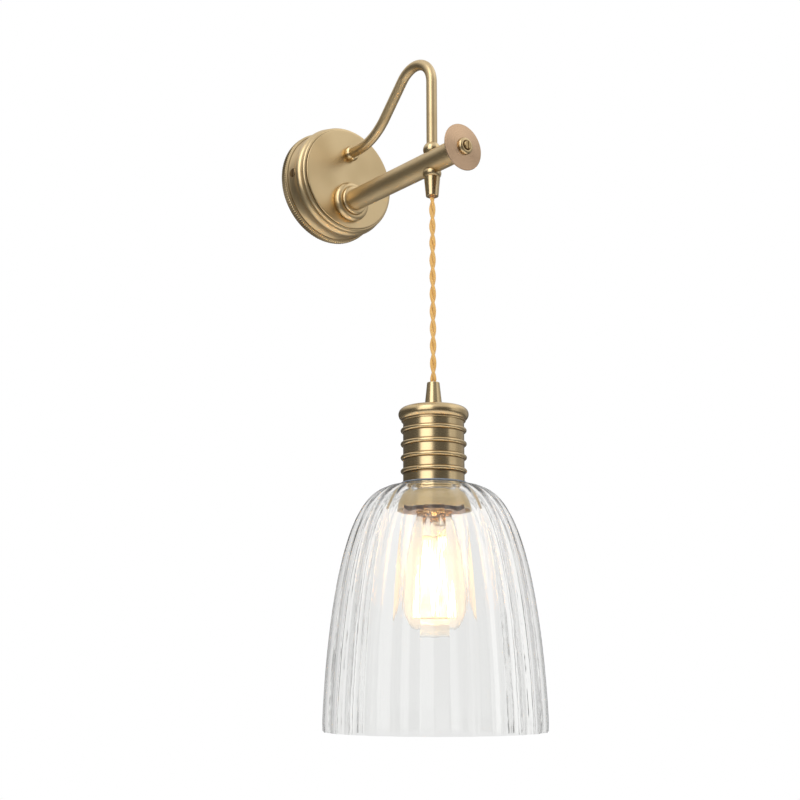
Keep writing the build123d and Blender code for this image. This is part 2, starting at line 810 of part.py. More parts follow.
arm_top = arm_height + arm_r
arm_underside = arm_height - arm_r
upper_bead = neck_bead(
    arm_top + upper_bead_middle, upper_bead_r, arm_top - bead_overlap, arm_top + upper_bead_rise
)
finish(upper_bead, "upper_bead")
lower_bead = neck_bead(
    bead_foot + lower_bead_middle, lower_bead_r, bead_foot, arm_underside + bead_overlap
)
finish(lower_bead, "lower_bead")

# --- flex: held inside the gooseneck, its two cores, and the free stretch ---
with BuildPart() as arm_cord_grip:
    revolve(
        upright(
            [
                (neck_r + slip_gap, bead_foot),
                (arm_grip_top_r, bead_foot),
                (arm_grip_mouth_r, mouth_z + grip_mouth_round),
                (arm_grip_mouth_r - grip_mouth_round, mouth_z),
                (grip_bore_r, mouth_z),
                (grip_bore_r, bead_foot - neck_thread - slip_gap),
                (neck_r + slip_gap, bead_foot - neck_thread - slip_gap),
            ]
        ),
        axis=LAMP_AXIS,
    )
finish(arm_cord_grip.part, "arm_cord_grip")

held_start = (0, -flex_back, gooseneck_height)
held_end = (0, -projection, mouth_z)
gooseneck_flex, held_length = bent_rod([held_start, *neck_corners, held_end], neck_bends, flex_r)
finish(gooseneck_flex, "gooseneck_flex")

core_start_y = core_start_lap - flex_back
with BuildPart() as core_wires:
    for start_x, pole_x in ((-core_offset, -pole_pitch), (core_offset, 0)):
        rod = bent_rod(
            [
                (start_x, core_start_y, gooseneck_height),
                (pole_x, -pole_depth, gooseneck_height),
                (pole_x, -pole_depth, core_end_rise),
            ],
            core_bend,
            core_r,
        )[0]
        add(rod)
finish(core_wires.part, "core_wires")

with BuildPart() as cord:
    with BuildSketch(LAMP_PLANE):
        with BuildLine():
            top = mouth_z - rest_gap
            foot = holder_mouth_z + rest_gap
            Polyline((flex_r, foot + flex_r), (flex_r, top - flex_r))
            RadiusArc((flex_r, top - flex_r), (0, top), -flex_r)
            Polyline((0, top), (0, foot))
            RadiusArc((0, foot), (flex_r, foot + flex_r), -flex_r)
        make_face()
    revolve(axis=LAMP_AXIS)
finish(cord.part, "cord")

# --- pendant: grip, cap, ribbed shell ---
grip_tail_end = cap_top - grip_tail
with BuildPart() as holder_cord_grip:
    revolve(
        upright(
            [
                (grip_bore_r, holder_mouth_z),
                (holder_grip_top_r - grip_mouth_round, holder_mouth_z),
                (holder_grip_top_r, holder_mouth_z - grip_mouth_round),
                (holder_grip_foot_r, grip_foot),
                (nipple_r, grip_foot),
                (nipple_r, grip_tail_end),
                (grip_bore_r, grip_tail_end),
            ]
        ),
        axis=LAMP_AXIS,
    )
finish(holder_cord_grip.part, "holder_cord_grip")

held_foot = grip_tail_end - flex_overrun
holder_flex = straight_rod(
    (0, -projection, holder_mouth_z), (0, -projection, held_foot), flex_r
)
finish(holder_flex, "holder_flex")

cap_roll_foot = cap_top - cap_roll_drop - cap_roll_half
spigot_r = shell_r - shell_wall - slip_gap
with BuildPart() as holder_cap:
    with BuildSketch(LAMP_PLANE):
        with BuildLine():
            Polyline(
                (nipple_r + body_gap, cap_top - cap_wall),
                (nipple_r + body_gap, cap_top),
                (cap_flat_r, cap_top),
                (cap_shoulder_r, cap_top - cap_shoulder_drop),
            )
            ThreePointArc(
                (cap_shoulder_r, cap_top - cap_shoulder_drop),
                (cap_roll_r, cap_top - cap_roll_drop),
                (cap_step_r, cap_roll_foot),
            )
            Polyline(
                (cap_step_r, cap_roll_foot),
                (cap_step_r, shell_top),
                (spigot_r, shell_top),
                (spigot_r, shell_top - spigot_length),
                (spigot_r - cap_wall, shell_top - spigot_length),
                (spigot_r - cap_wall, cap_top - cap_wall - cap_roof_slope),
                (nipple_r + body_gap, cap_top - cap_wall),
            )
        make_face()
    revolve(axis=LAMP_AXIS)
finish(holder_cap.part, "holder_cap")

cap_roof_fall = (grip_nut_r - nipple_r - body_gap) / (spigot_r - cap_wall - nipple_r - body_gap)
grip_nut_top = cap_top - cap_wall - cap_roof_slope * cap_roof_fall - slip_gap
with BuildPart() as grip_nut:
    with BuildSketch(Plane.XY.offset(grip_nut_top - grip_nut_depth)):
        with Locations((0, -projection)):
            RegularPolygon(grip_nut_r, 6)
            Circle(nipple_r + slip_gap, mode=Mode.SUBTRACT)
    extrude(amount=grip_nut_depth)
finish(grip_nut.part, "grip_nut")

rib_places = [(shell_r, shell_top - rib_first - rib_pitch * k) for k in range(shell_ribs)]
with BuildPart() as holder_shell:
    revolve(
        upright(
            [
                (shell_r - shell_wall, shell_top),
                (shell_r, shell_top),
                (shell_r, shell_foot),
                (shell_r - shell_wall, shell_foot),
            ]
        ),
        axis=LAMP_AXIS,
    )
    with BuildSketch(LAMP_PLANE):
        for radius, height in rib_places:
            with BuildLine():
                Line((radius, height - rib_half), (radius, height + rib_half))
                ThreePointArc(
                    (radius, height + rib_half), (rib_r, height), (radius, height - rib_half)
                )
            make_face()
    revolve(axis=LAMP_AXIS)
finish(holder_shell.part, "holder_shell")

# --- lamp holder inside the shell ---
insulator_top = shell_top - insulator_roof
socket_top = skirt_foot + socket_length
floor_low = socket_top + socket_roof_room
floor_high = floor_low + socket_floor
socket_outer_r = socket_r + socket_wall
with BuildPart() as lampholder_insulator:
    revolve(
        upright(
            [
                (0, floor_low),
                (socket_outer_r + slip_gap, floor_low),
                (socket_outer_r + slip_gap, skirt_foot),
                (skirt_r, skirt_foot),
                (skirt_r, insulator_top),
                (insulator_well_r, insulator_top),
                (insulator_well_r, floor_high),
                (0, floor_high),
            ]
        ),
        axis=LAMP_AXIS,
    )
    with BuildSketch(Plane.XY.offset(floor_low)):
        with Locations((-core_hole_x, -projection), (core_hole_x, -projection)):
            Circle(core_hole_r)
        with Locations((-tongue_root, -projection)):
            Circle(rivet_r + slip_gap)
    extrude(amount=socket_floor, mode=Mode.SUBTRACT)
finish(lampholder_insulator.part, "lampholder_insulator")

with BuildPart() as lampholder_socket:
    revolve(
        upright(
            [
                (socket_r, skirt_foot + slip_gap),
                (socket_outer_r, skirt_foot + slip_gap),
                (socket_outer_r, floor_low - slip_gap),
                (core_hole_x - core_hole_r - socket_lip, floor_low - slip_gap),
                (core_hole_x - core_hole_r - socket_lip, floor_low - slip_gap - socket_wall),
                (socket_r, floor_low - slip_gap - socket_wall),
            ]
        ),
        axis=LAMP_AXIS,
    )
finish(lampholder_socket.part, "lampholder_socket")

with BuildPart() as holder_cores:
    for side in (-1, 1):
        rod = bent_rod(
            [
                (side * core_offset, -projection, held_foot - body_gap - core_r / 2),
                (side * core_hole_x, -projection, insulator_top - core_run_in),
                (side * core_hole_x, -projection, floor_high - socket_floor / 2),
            ],
            2 * core_bend,
            core_r,
        )[0]
        add(rod)
finish(holder_cores.part, "holder_cores")

tongue_low = bulb_contact_z + body_gap
with BuildPart() as centre_contact:
    with BuildSketch(Plane.XY.offset(tongue_low)):
        with Locations(((tongue_reach - tongue_root) / 2, -projection)):
            Rectangle(tongue_reach + tongue_root, tongue_width)
    extrude(amount=tongue_wall)
    with BuildSketch(Plane.XY.offset(tongue_low)):
        with Locations((-tongue_root, -projection)):
            Circle(rivet_r)
    extrude(amount=floor_high + rivet_stand - tongue_low)
finish(centre_contact.part, "centre_contact")

# --- shade: two gaskets, the threaded ring, the fluted glass ---
for name, height, radius in (
    ("upper_gasket", shade_top, gasket_r),
    ("lower_gasket", ring_top, ring_top_r - slip_gap),
):
    with BuildPart() as washer:
        with BuildSketch(Plane.XY.offset(height)):
            with Locations((0, -projection)):
                Circle(radius)
                Circle(shade_hole_r, mode=Mode.SUBTRACT)
        extrude(amount=gasket)
    finish(washer.part, name)

with BuildPart() as shade_ring:
    with BuildSketch(LAMP_PLANE):
        with BuildLine():
            Polyline(
                (ring_foot_r - ring_wall, ring_foot),
                (ring_sleeve_r + ring_fillet, ring_top - ring_wall),
                (ring_sleeve_r, ring_top - ring_wall),
                (ring_sleeve_r, ring_top - ring_sleeve_depth),
                (skirt_r + body_gap, ring_top - ring_sleeve_depth),
                (skirt_r + body_gap, ring_top),
                (ring_top_r, ring_top),
            )
            ThreePointArc(
                (ring_top_r, ring_top),
                ((ring_top_r + ring_foot_r) / 2 + ring_swell, ring_top - ring_depth * ring_swell_at),
                (ring_foot_r, ring_foot),
            )
            Polyline((ring_foot_r, ring_foot), (ring_foot_r - ring_wall, ring_foot))
        make_face()
    revolve(axis=LAMP_AXIS)
finish(shade_ring.part, "shade_ring")


def bell(drop, radius, height):
    """The bell's radius at a drop below its top: (r/R)^across = 1 - (1 - drop/height)^along."""
    spread = 1 - (1 - drop / height) ** shade_curve_along
    return radius * spread ** (1 / shade_curve_across)


def fluted_ring(height, crest_radius):
    """A closed ring of outward arcs that meet in sharp valleys, round the lamp's axis."""
    valley_radius = crest_radius * (1 - shade_flute_depth / shade_r)
    step = 2 * pi / shade_flutes

    def at(turn, radius):
        angle = radians(shade_crest_turn) + turn * step
        return (radius * cos(angle), radius * sin(angle))

    with BuildSketch(Plane((0, -projection, height))) as ring:
        with BuildLine():
            for k in range(shade_flutes):
                ThreePointArc(at(k - 0.5, valley_radius), at(k, crest_radius), at(k + 0.5, valley_radius))
        make_face()
    return ring.sketch


shade_drops = [
    shade_first_drop * (shade_height / shade_first_drop) ** (k / shade_stations)
    for k in range(shade_stations + 1)
]
inner_r = shade_r - shade_flute_depth - shade_wall
inner_height = shade_height - shade_neck_wall
inner_drops = [*shade_inner_drops, inner_height]
with BuildPart() as glass_shade:
    rings = [
        fluted_ring(shade_top - drop, bell(drop, shade_r, shade_height)) for drop in shade_drops
    ]
    loft(sections=rings, ruled=True)
    with BuildSketch(Plane((0, -projection, shade_top))):
        Circle(bell(shade_first_drop, shade_r, shade_height) - shade_flute_depth)
    extrude(amount=-shade_neck_wall / 2)
    with BuildSketch(LAMP_PLANE):
        with BuildLine():
            flat_edge = (ring_top_r + body_gap, neck_underside)
            wall_line = [
                (bell(drop, inner_r, inner_height), neck_underside - drop) for drop in inner_drops
            ]
            Polyline((shade_hole_r, shade_top + 1), (shade_hole_r, neck_underside), flat_edge)
            Polyline(flat_edge, wall_line[0])
            Spline(*wall_line)
            Polyline(
                wall_line[-1],
                (wall_line[-1][0], shade_foot - 1),
                (0, shade_foot - 1),
                (0, shade_top + 1),
                (shade_hole_r, shade_top + 1),
            )
        make_face()
    revolve(axis=LAMP_AXIS, mode=Mode.SUBTRACT)
finish(glass_shade.part, "glass_shade")

# --- bulb ---
insulator_high = bulb_contact_z - bulb_tip_depth
cap_high = insulator_high - bulb_insulator_length * bulb_cap_lap
cap_low = bulb_glass_top
with BuildPart() as bulb_contact:
    with BuildSketch(Plane.XY.offset(insulator_high)):
        with Locations((0, -projection)):
            Circle(bulb_tip_r)
    extrude(amount=bulb_tip_depth)
    fillet(bulb_contact.edges().group_by(Axis.Z)[-1], bulb_tip_round)
finish(bulb_contact.part, "bulb_contact")

with BuildPart() as bulb_insulator:
    revolve(
        upright(
            [
                (0, insulator_high),
                (bulb_tip_r + bulb_tip_border, insulator_high),
                (bulb_insulator_r, cap_high),
                (bulb_insulator_r, insulator_high - bulb_insulator_length),
                (0, insulator_high - bulb_insulator_length),
            ]
        ),
        axis=LAMP_AXIS,
    )
finish(bulb_insulator.part, "bulb_insulator")

thread_root_r = bulb_cap_r - bulb_thread_depth
thread_top = cap_high - bulb_thread_start
thread_turn = bulb_thread_pitch * bulb_thread_share
with BuildPart() as bulb_cap:
    with BuildSketch(LAMP_PLANE):
        with BuildLine():
            Polyline(
                (thread_root_r, thread_top),
                (bulb_insulator_r + bulb_cap_wall + slip_gap, cap_high),
                (bulb_insulator_r + slip_gap, cap_high),
                (bulb_insulator_r + slip_gap, cap_high - bulb_cap_wall - bulb_cap_rim),
                (thread_root_r - bulb_cap_wall, thread_top - bulb_cap_wall),
                (thread_root_r - bulb_cap_wall, cap_low),
                (thread_root_r, cap_low),
                (thread_root_r, thread_top - bulb_threads * thread_turn),
            )
            turns = [thread_top - k * thread_turn for k in range(bulb_threads + 1)]
            for high, low in zip(turns, turns[1:]):
                ThreePointArc(
                    (thread_root_r, high), (bulb_cap_r, (high + low) / 2), (thread_root_r, low)
                )
        make_face()
    revolve(axis=LAMP_AXIS)
finish(bulb_cap.part, "bulb_cap")

bulb_widest_z = bulb_foot + bulb_r
seal_top = bulb_glass_top + bulb_seal_length
seal_r = thread_root_r - bulb_cap_wall - slip_gap


def bulb_outline(inset):
    """The half outline of the bulb's glass, drawn in by a wall: neck, one long swelling arc, round tip."""
    narrow, wide = bulb_neck_r - inset, bulb_r - inset
    rise = bulb_glass_top - bulb_widest_z
    swell_r = ((wide - narrow) ** 2 + rise**2) / (2 * (wide - narrow))
    middle = wide - swell_r + (swell_r**2 - (rise / 2) ** 2) ** 0.5
    with BuildSketch(LAMP_PLANE) as section:
        with BuildLine():
            Polyline(
                (0, seal_top - inset),
                (seal_r - inset, seal_top - inset),
                (seal_r - inset, bulb_glass_top),
                (narrow, bulb_glass_top),
            )
            ThreePointArc(
                (narrow, bulb_glass_top),
                (middle, bulb_glass_top - rise / 2),
                (wide, bulb_widest_z),
            )
            ThreePointArc(
                (wide, bulb_widest_z),
                (wide * sin(pi / 4), bulb_widest_z - wide * cos(pi / 4)),
                (0, bulb_widest_z - wide),
            )
            Polyline((0, bulb_widest_z - wide), (0, seal_top - inset))
        make_face()
    return section.sketch


with BuildPart() as bulb_glass:
    revolve(bulb_outline(0), axis=LAMP_AXIS)
    revolve(bulb_outline(bulb_wall), axis=LAMP_AXIS, mode=Mode.SUBTRACT)
finish(bulb_glass.part, "bulb_glass")

cage_top_z = bulb_contact_z - cage_top
cage_foot_z = bulb_contact_z - cage_foot
stem_top = seal_top - bulb_wall
stem_shoulder = cage_top_z + stem_shoulder_rise
rod_bead_end = rod_bead_half + rod_bead_taper
with BuildPart() as bulb_stem:
    revolve(
        upright(
            [
                (0, stem_top),
                (stem_flare_r, stem_top),
                (stem_r + stem_flare[0], stem_top - stem_flare[1]),
                (stem_r, stem_shoulder),
                (rod_bead_r, cage_top_z + rod_bead_half),
                (rod_bead_r, cage_top_z - rod_bead_half),
                (rod_r, cage_top_z - rod_bead_end),
                (rod_r, cage_foot_z + rod_bead_end),
                (rod_bead_r, cage_foot_z + rod_bead_half),
                (rod_bead_r, cage_foot_z - rod_bead_half),
                (0, cage_foot_z - rod_bead_end),
            ]
        ),
        axis=LAMP_AXIS,
    )
finish(bulb_stem.part, "bulb_stem")


def cage_point(k):
    """A corner of the filament: even ones at the cage's top ring, odd ones at its foot."""
    angle = radians(cage_gap_angle / 2 + k * (360 - cage_gap_angle) / (2 * cage_hairpins))
    radius, height = (cage_foot_r, cage_foot_z) if k % 2 else (cage_top_r, cage_top_z)
    return (radius * cos(angle), radius * sin(angle) - projection, height)


cage_points = [cage_point(k) for k in range(2 * cage_hairpins + 1)]
filament, filament_length = bent_rod(cage_points, filament_bend, filament_r)
finish(filament, "filament")

with BuildPart() as filament_hooks:
    for k in range(1, 2 * cage_hairpins):
        x, y, height = cage_points[k]
        reach = hook_reach[k % 2]
        inner = hook_root / (cage_foot_r if k % 2 else cage_top_r)
        hook_start = (x * inner, (y + projection) * inner - projection, height)
        hook_end = (x * reach, (y + projection) * reach - projection, height)
        add(straight_rod(hook_start, hook_end, hook_r))
finish(filament_hooks.part, "filament_hooks")

with BuildPart() as lead_wires:
    for end in (cage_points[0], cage_points[-1]):
        side = lead_root[1] if end[1] > -projection else -lead_root[1]
        root = (lead_root[0], side - projection, stem_shoulder + lead_root[2])
        tip = (end[0] * lead_reach, (end[1] + projection) * lead_reach - projection, end[2] + lead_rise)
        add(straight_rod(root, tip, lead_r))
finish(lead_wires.part, "lead_wires")

print("flex inside the gooseneck", round(held_length, 1), "mm")
print("free flex", round(flex_length - 2 * rest_gap, 1), "mm")
print("gooseneck line", round(neck_length, 1), "mm, filament", round(filament_length, 1), "mm")
print("bends in the gooseneck", neck_bends, "mm")
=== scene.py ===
"""Looks of a wall light whose lamp hangs on a twisted cloth flex from a level brass arm."""

import json

import bpy
import numpy as np
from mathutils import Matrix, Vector


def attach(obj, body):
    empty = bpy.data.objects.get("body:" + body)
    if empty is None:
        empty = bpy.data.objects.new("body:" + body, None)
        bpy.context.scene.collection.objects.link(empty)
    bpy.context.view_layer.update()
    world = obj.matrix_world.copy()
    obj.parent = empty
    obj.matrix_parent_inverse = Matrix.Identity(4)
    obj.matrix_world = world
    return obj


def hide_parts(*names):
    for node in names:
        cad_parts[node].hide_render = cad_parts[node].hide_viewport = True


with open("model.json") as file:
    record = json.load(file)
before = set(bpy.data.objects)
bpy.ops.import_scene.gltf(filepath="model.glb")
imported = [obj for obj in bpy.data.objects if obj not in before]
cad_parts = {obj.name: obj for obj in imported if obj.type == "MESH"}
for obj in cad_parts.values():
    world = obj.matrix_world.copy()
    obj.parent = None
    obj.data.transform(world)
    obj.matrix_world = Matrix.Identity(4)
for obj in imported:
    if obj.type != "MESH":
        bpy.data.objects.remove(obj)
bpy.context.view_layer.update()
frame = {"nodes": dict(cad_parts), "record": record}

MM = 0.001
DEGREES = 180 / np.pi

# --- places and sizes, in millimetres, as the part's source has them ---
PROJECTION = 133.0
ARM_HEIGHT = -20.3
NECK_HEIGHT = 21.0
ARM_R = 8.45
NECK_R = 4.0
NECK_BEND_LOW, NECK_BEND_TOP = 48.0, 20.4
NECK_SLOPE = np.radians(46.0)
NECK_PEAK = 64.3
COVER_DEPTH = 29.8
COLLAR_END = 38.8
ARM_END = 166.8
BEAD_FOOT = -32.7
NECK_START, NECK_END = -19.5, BEAD_FOOT - 5.0       # inside the backplate, and inside the upper grip
NECK_STEP = 0.035        # radians between the bends' rows
MOUTH_Z = -47.1
HOLDER_MOUTH_Z = -187.0
GRIP_FOOT = -204.1
CAP_TOP = -204.4
SHELL_TOP = -215.4
SHELL_FOOT = -258.7
SHADE_TOP = -259.7
NECK_UNDERSIDE = -263.2
RING_TOP = -264.2
RING_FOOT = -277.2
SHADE_FOOT = -425.5
BULB_GLASS_TOP = -280.4
BULB_FOOT = -364.4
REST_GAP = 0.2
FLEX_R = 2.33

# --- the backplate's rim and side screws ---
KNURL_TEETH, KNURL_STEPS, KNURL_DEPTH = 150, 6, 0.6
SCREW_DEPTH, SCREW_OUT = 12.6, 44.5         # a recess's middle, from the wall and from the axis
SCREW_RECESS_R, SCREW_RECESS = 3.7, 5.0

# --- the glass shade ---
SHADE_R, SHADE_INNER_R, SHADE_HEIGHT = 75.6, 72.8, 165.8
SHADE_HOLE_R = 20.4
FLUTES, FLUTE_DEPTH, FIRST_CREST = 24, 2.0, np.radians(5.0)
FLUTE_STEPS = 16         # columns to a flute
INNER_FLUTE = 1.5        # how far the inner wall follows the flutes
LIP_EASE = 0.35          # how far the outer wall draws in at the lip
GASKET_GAP = 0.05        # how far the neck's top stays below the gasket

# --- the bulb ---
BULB_R, BULB_NECK_R, BULB_WALL = 23.2, 12.6, 0.8
CAGE_TOP, CAGE_TOP_R = -296.4, 11.5
CAGE_FOOT, CAGE_FOOT_R = -351.4, 15.0
CAGE_GAP = 40.0          # degrees between the wire's two ends
WIRE_CORNERS, WIRE_R = 15, 0.3
WIRE_BEND = 0.9          # how far before a corner the wire starts to bend
GLOW_HEIGHT = -325.0

# --- the twisted flex ---
CORE_R = 1.17            # one cloth-covered core
TWIST_PITCH = 25.7       # one whole turn of the two cores
YARNS = 8                # the braid's yarns each way round a core
YARN_STEP = 1.25         # one repeat of the braid along it

# --- the camera and the floor, in metres ---
CAMERA_PLACE, CAMERA_LENS = (-0.5497, -0.7874, -0.3869), 55.79
CAMERA_AZIMUTH, CAMERA_ELEVATION = np.radians(-38.45), np.radians(-12.37)
FLOOR_HEIGHT = -0.60

# --- grids, in metres ---
SEAM_STEP = 0.001        # the map's last step, on a grid whose ends join
POLE_WIDTH = 1e-7        # a row narrower than this is one point


# ---------------------------------------------------------------- camera

def put_camera():
    """The camera stands below the arm and looks up at it, as the photograph does."""
    data = bpy.data.cameras.new("camera")
    data.lens, data.sensor_width = CAMERA_LENS, 36.0
    camera = bpy.data.objects.new("camera", data)
    bpy.context.collection.objects.link(camera)
    camera.location = CAMERA_PLACE
    back = Vector((
        np.sin(CAMERA_AZIMUTH) * np.cos(CAMERA_ELEVATION),
        -np.cos(CAMERA_AZIMUTH) * np.cos(CAMERA_ELEVATION),
        np.sin(CAMERA_ELEVATION),
    ))
    camera.rotation_mode = "QUATERNION"
    camera.rotation_quaternion = (-back).to_track_quat("-Z", "Y")
    bpy.context.scene.camera = camera


# ---------------------------------------------------------------- surfaces

def line_lengths(points):
    """Distance along a line of points, from its first one."""
    return np.r_[0, np.cumsum(np.linalg.norm(np.diff(points, axis=0), axis=1))]


def grid_cells(grid, along_closed=False):
    """Points, cells and map of a grid (rows along, columns around and closed), in metres.
    The map's u is the distance round the widest row and v the distance along, both in metres.
    A row that has shrunk to one point becomes a pole: its cells share that point."""
    rows, columns, _ = grid.shape
    row = np.arange(rows if along_closed else rows - 1)
    r, c = (a.ravel() for a in np.meshgrid(row, np.arange(columns), indexing="ij"))
    below, right = (r + 1) % rows, (c + 1) % columns
    cells = np.stack([r * columns + c, r * columns + right, below * columns + right, below * columns + c], 1)
    width = np.linalg.norm(np.roll(grid, -1, axis=1) - grid, axis=2).sum(axis=1).max()
    v = line_lengths(grid[:, 0])
    u_now, u_next = c / columns * width, (c + 1) / columns * width
    v_now = v[r]
    v_next = np.where(r + 1 < rows, v[np.minimum(r + 1, rows - 1)], v[-1] + SEAM_STEP)
    uv = np.stack([
        np.stack([u_now, v_now], 1), np.stack([u_next, v_now], 1),
        np.stack([u_next, v_next], 1), np.stack([u_now, v_next], 1),
    ], 1)
    pole = np.linalg.norm(grid - grid[:, :1], axis=2).max(axis=1) < POLE_WIDTH
    first = np.repeat(np.where(pole, np.arange(rows) * columns, -1), columns)
    merged = np.where(first >= 0, first, np.arange(rows * columns))
    return grid.reshape(-1, 3), merged[cells], uv


def outward(points, cells):
    """True where the faces point outwards: the cells' signed cones to the origin add up to more than 0.
    An open grid points outwards where it faces away from the origin."""
    a, b, c, d = (points[cells[:, k]] for k in range(4))
    return (np.einsum("ij,ij->i", a, np.cross(b, c)) + np.einsum("ij,ij->i", a, np.cross(c, d))).sum() > 0


def mesh_from_grids(name, grids, along_closed=False, inward=(), hollow=None):
    """One mesh of several grids, each facing outwards but for the ones whose places are in inward.
    A cell's corner that repeats the one before it is left out, which makes a pole's cells triangles.
    hollow is a number for each row, kept on the points, that says how deep in a groove the row lies."""
    all_points, all_cells, all_maps, base = [], [], [], 0
    for place, grid in enumerate(grids):
        points, cells, uv = grid_cells(grid, along_closed)
        if outward(points, cells) == (place in inward):
            cells, uv = cells[:, ::-1], uv[:, ::-1]
        all_points.append(points)
        all_cells.append(cells + base)
        all_maps.append(uv)
        base += len(points)
    points, cells, uv = (np.concatenate(parts) for parts in (all_points, all_cells, all_maps))
    kept = cells != np.roll(cells, 1, axis=1)
    kept &= kept.sum(axis=1, keepdims=True) > 2
    used, corners = np.unique(cells[kept], return_inverse=True)
    sizes = kept.sum(axis=1)
    sizes = sizes[sizes > 0]
    mesh = bpy.data.meshes.new(name)
    mesh.vertices.add(len(used))
    mesh.vertices.foreach_set("co", points[used].astype(np.float32).ravel())
    mesh.loops.add(len(corners))
    mesh.loops.foreach_set("vertex_index", corners.astype(np.int32).ravel())
    mesh.polygons.add(len(sizes))
    mesh.polygons.foreach_set("loop_start", (np.cumsum(sizes) - sizes).astype(np.int32))
    mesh.update(calc_edges=True)
    mesh.uv_layers.new(name="surface").data.foreach_set("uv", uv[kept].astype(np.float32).ravel())
    if hollow is not None:
        worn = mesh.attributes.new("hollow", "FLOAT", "POINT")
        worn.data.foreach_set("value", np.repeat(hollow, grids[0].shape[1])[used].astype(np.float32))
    return mesh


def show(name, mesh):
    """A new object of a mesh, in the scene."""
    made = bpy.data.objects.new(name, mesh)
    bpy.context.collection.objects.link(made)
    return made


def piece_from_grids(name, grids, body, material, slot, replaces, sharp=32.0, **shape):
    """One named piece of one or more closed surfaces, smooth but for edges sharper than an angle."""
    mesh = mesh_from_grids(name, grids, **shape)
    mesh.materials.append(material)
    mesh.shade_smooth()
    mesh.set_sharp_from_angle(angle=np.radians(sharp))
    piece = show(name, mesh)
    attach(piece, body)
    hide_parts(*replaces)
    return piece


class Outline:
    """A profile in (along, radius), in millimetres, made of straight lines and three-point arcs."""

    def __init__(self, along, radius):
        self.points = [np.array([[along, radius]], float)]

    def to(self, along, radius, steps=1):
        """A straight line to a point."""
        start = self.points[-1][-1]
        part = np.linspace(0, 1, steps + 1)[1:, None]
        self.points.append(start + part * (np.array([along, radius]) - start))
        return self

    def arc(self, middle, end, steps=14):
        """The arc through the last point, a middle point and an end point:
        centre from the two chords' bisectors, then equal steps of angle."""
        a, b, c = self.points[-1][-1], np.array(middle, float), np.array(end, float)
        m = 2 * np.array([b - a, c - a])
        centre = np.linalg.solve(m, np.array([b @ b - a @ a, c @ c - a @ a]))
        angles = [np.arctan2(*(p - centre)[::-1]) for p in (a, b, c)]
        turn_b, turn_c = (angles[1] - angles[0]) % (2 * np.pi), (angles[2] - angles[0]) % (2 * np.pi)
        sweep = turn_c if turn_b < turn_c else turn_c - 2 * np.pi
        t = angles[0] + sweep * np.linspace(0, 1, steps + 1)[1:]
        radius = np.linalg.norm(a - centre)
        self.points.append(centre + radius * np.stack([np.cos(t), np.sin(t)], 1))
        return self

    def line(self):
        """All its points."""
        return np.concatenate(self.points)


def hollow_share(profile, closed, window=1.0, full=0.11):
    """How deep each point of a profile lies in a groove, from 0 to 1: the mean of the points within a window,
    less the point, measured along the outward normal. The normal is the tangent turned a quarter,
    on the side that the outline's signed area gives."""
    line = np.array(profile, float)
    padded = np.pad(line, ((1, 1), (0, 0)), mode="wrap" if closed else "edge")
    tangent = padded[2:] - padded[:-2]
    tangent /= np.maximum(np.linalg.norm(tangent, axis=1, keepdims=True), 1e-9)
    x, y = line[:, 0], line[:, 1]
    area = np.sum(x * np.roll(y, -1) - np.roll(x, -1) * y)
    normal = np.stack([tangent[:, 1], -tangent[:, 0]], 1) * np.sign(area)
    distance = line_lengths(line)
    at = np.linspace(0, distance[-1], 1500)
    fine = np.stack([np.interp(at, distance, line[:, k]) for k in range(2)], 1)
    near = np.exp(-(((at[None] - distance[:, None]) / (window * 0.5)) ** 2))
    mean = near @ fine / near.sum(axis=1, keepdims=True)
    return np.clip(np.einsum("ij,ij->i", mean - line, normal) / full, 0, 1)


def turned(profile, origin, along, around=160):
    """A profile turned round an axis: origin + along * a + radius * (cos t * side + sin t * up)."""
    along = np.array(along, float)
    side = np.array([1.0, 0, 0])
    up = np.cross(along, side)
    t = np.linspace(0, 2 * np.pi, around, endpoint=False)
    spoke = np.cos(t)[:, None] * side + np.sin(t)[:, None] * up
    a, radius = profile[:, 0], np.maximum(profile[:, 1], 0)
    grid = a[:, None, None] * along + radius[:, None, None] * spoke[None]
    return (grid + np.array(origin, float)) * MM


def turned_piece(name, profile, place, body, replaces, around=160, closed=False, sharp=32.0, finish=None):
    """A turned brass piece. place turns its profile into a grid: level at a height, or upright."""
    return piece_from_grids(
        name, [place(profile, around)], body, finish or turned_brass, "satin_brass", replaces, sharp,
        along_closed=closed, hollow=hollow_share(profile, closed))


def level_at(height):
    """Turns profiles on a level axis at a height."""
    return lambda profile, around: level(profile, height, around)


def level(profile, height, around=160):
    """Turned on a level axis: along is the distance from the wall."""
    return turned(profile, (0, 0, height), (0, -1, 0), around)


def upright(profile, around=160):
    """Turned on the lamp's axis: along is the height."""
    return turned(profile, (0, -PROJECTION, 0), (0, 0, 1), around)


def tube_along(line, radius, around=36):
    """A tube in the lamp's vertical plane, its ends closed:
    line + radius * (cos t * X + sin t * (tangent x X))."""
    tangent = np.gradient(line, axis=0)
    tangent /= np.linalg.norm(tangent, axis=1, keepdims=True)
    side = np.array([1.0, 0, 0])
    other = np.cross(tangent, side)
    other /= np.linalg.norm(other, axis=1, keepdims=True)
    t = np.linspace(0, 2 * np.pi, around, endpoint=False)
    ring = np.cos(t)[None, :, None] * side + np.sin(t)[None, :, None] * other[:, None]
    grid = line[:, None] + radius * ring
    start, end = np.repeat(line[:1, None], around, 1), np.repeat(line[-1:, None], around, 1)
    return np.concatenate([start, grid, end]) * MM


# ---------------------------------------------------------------- shader expressions

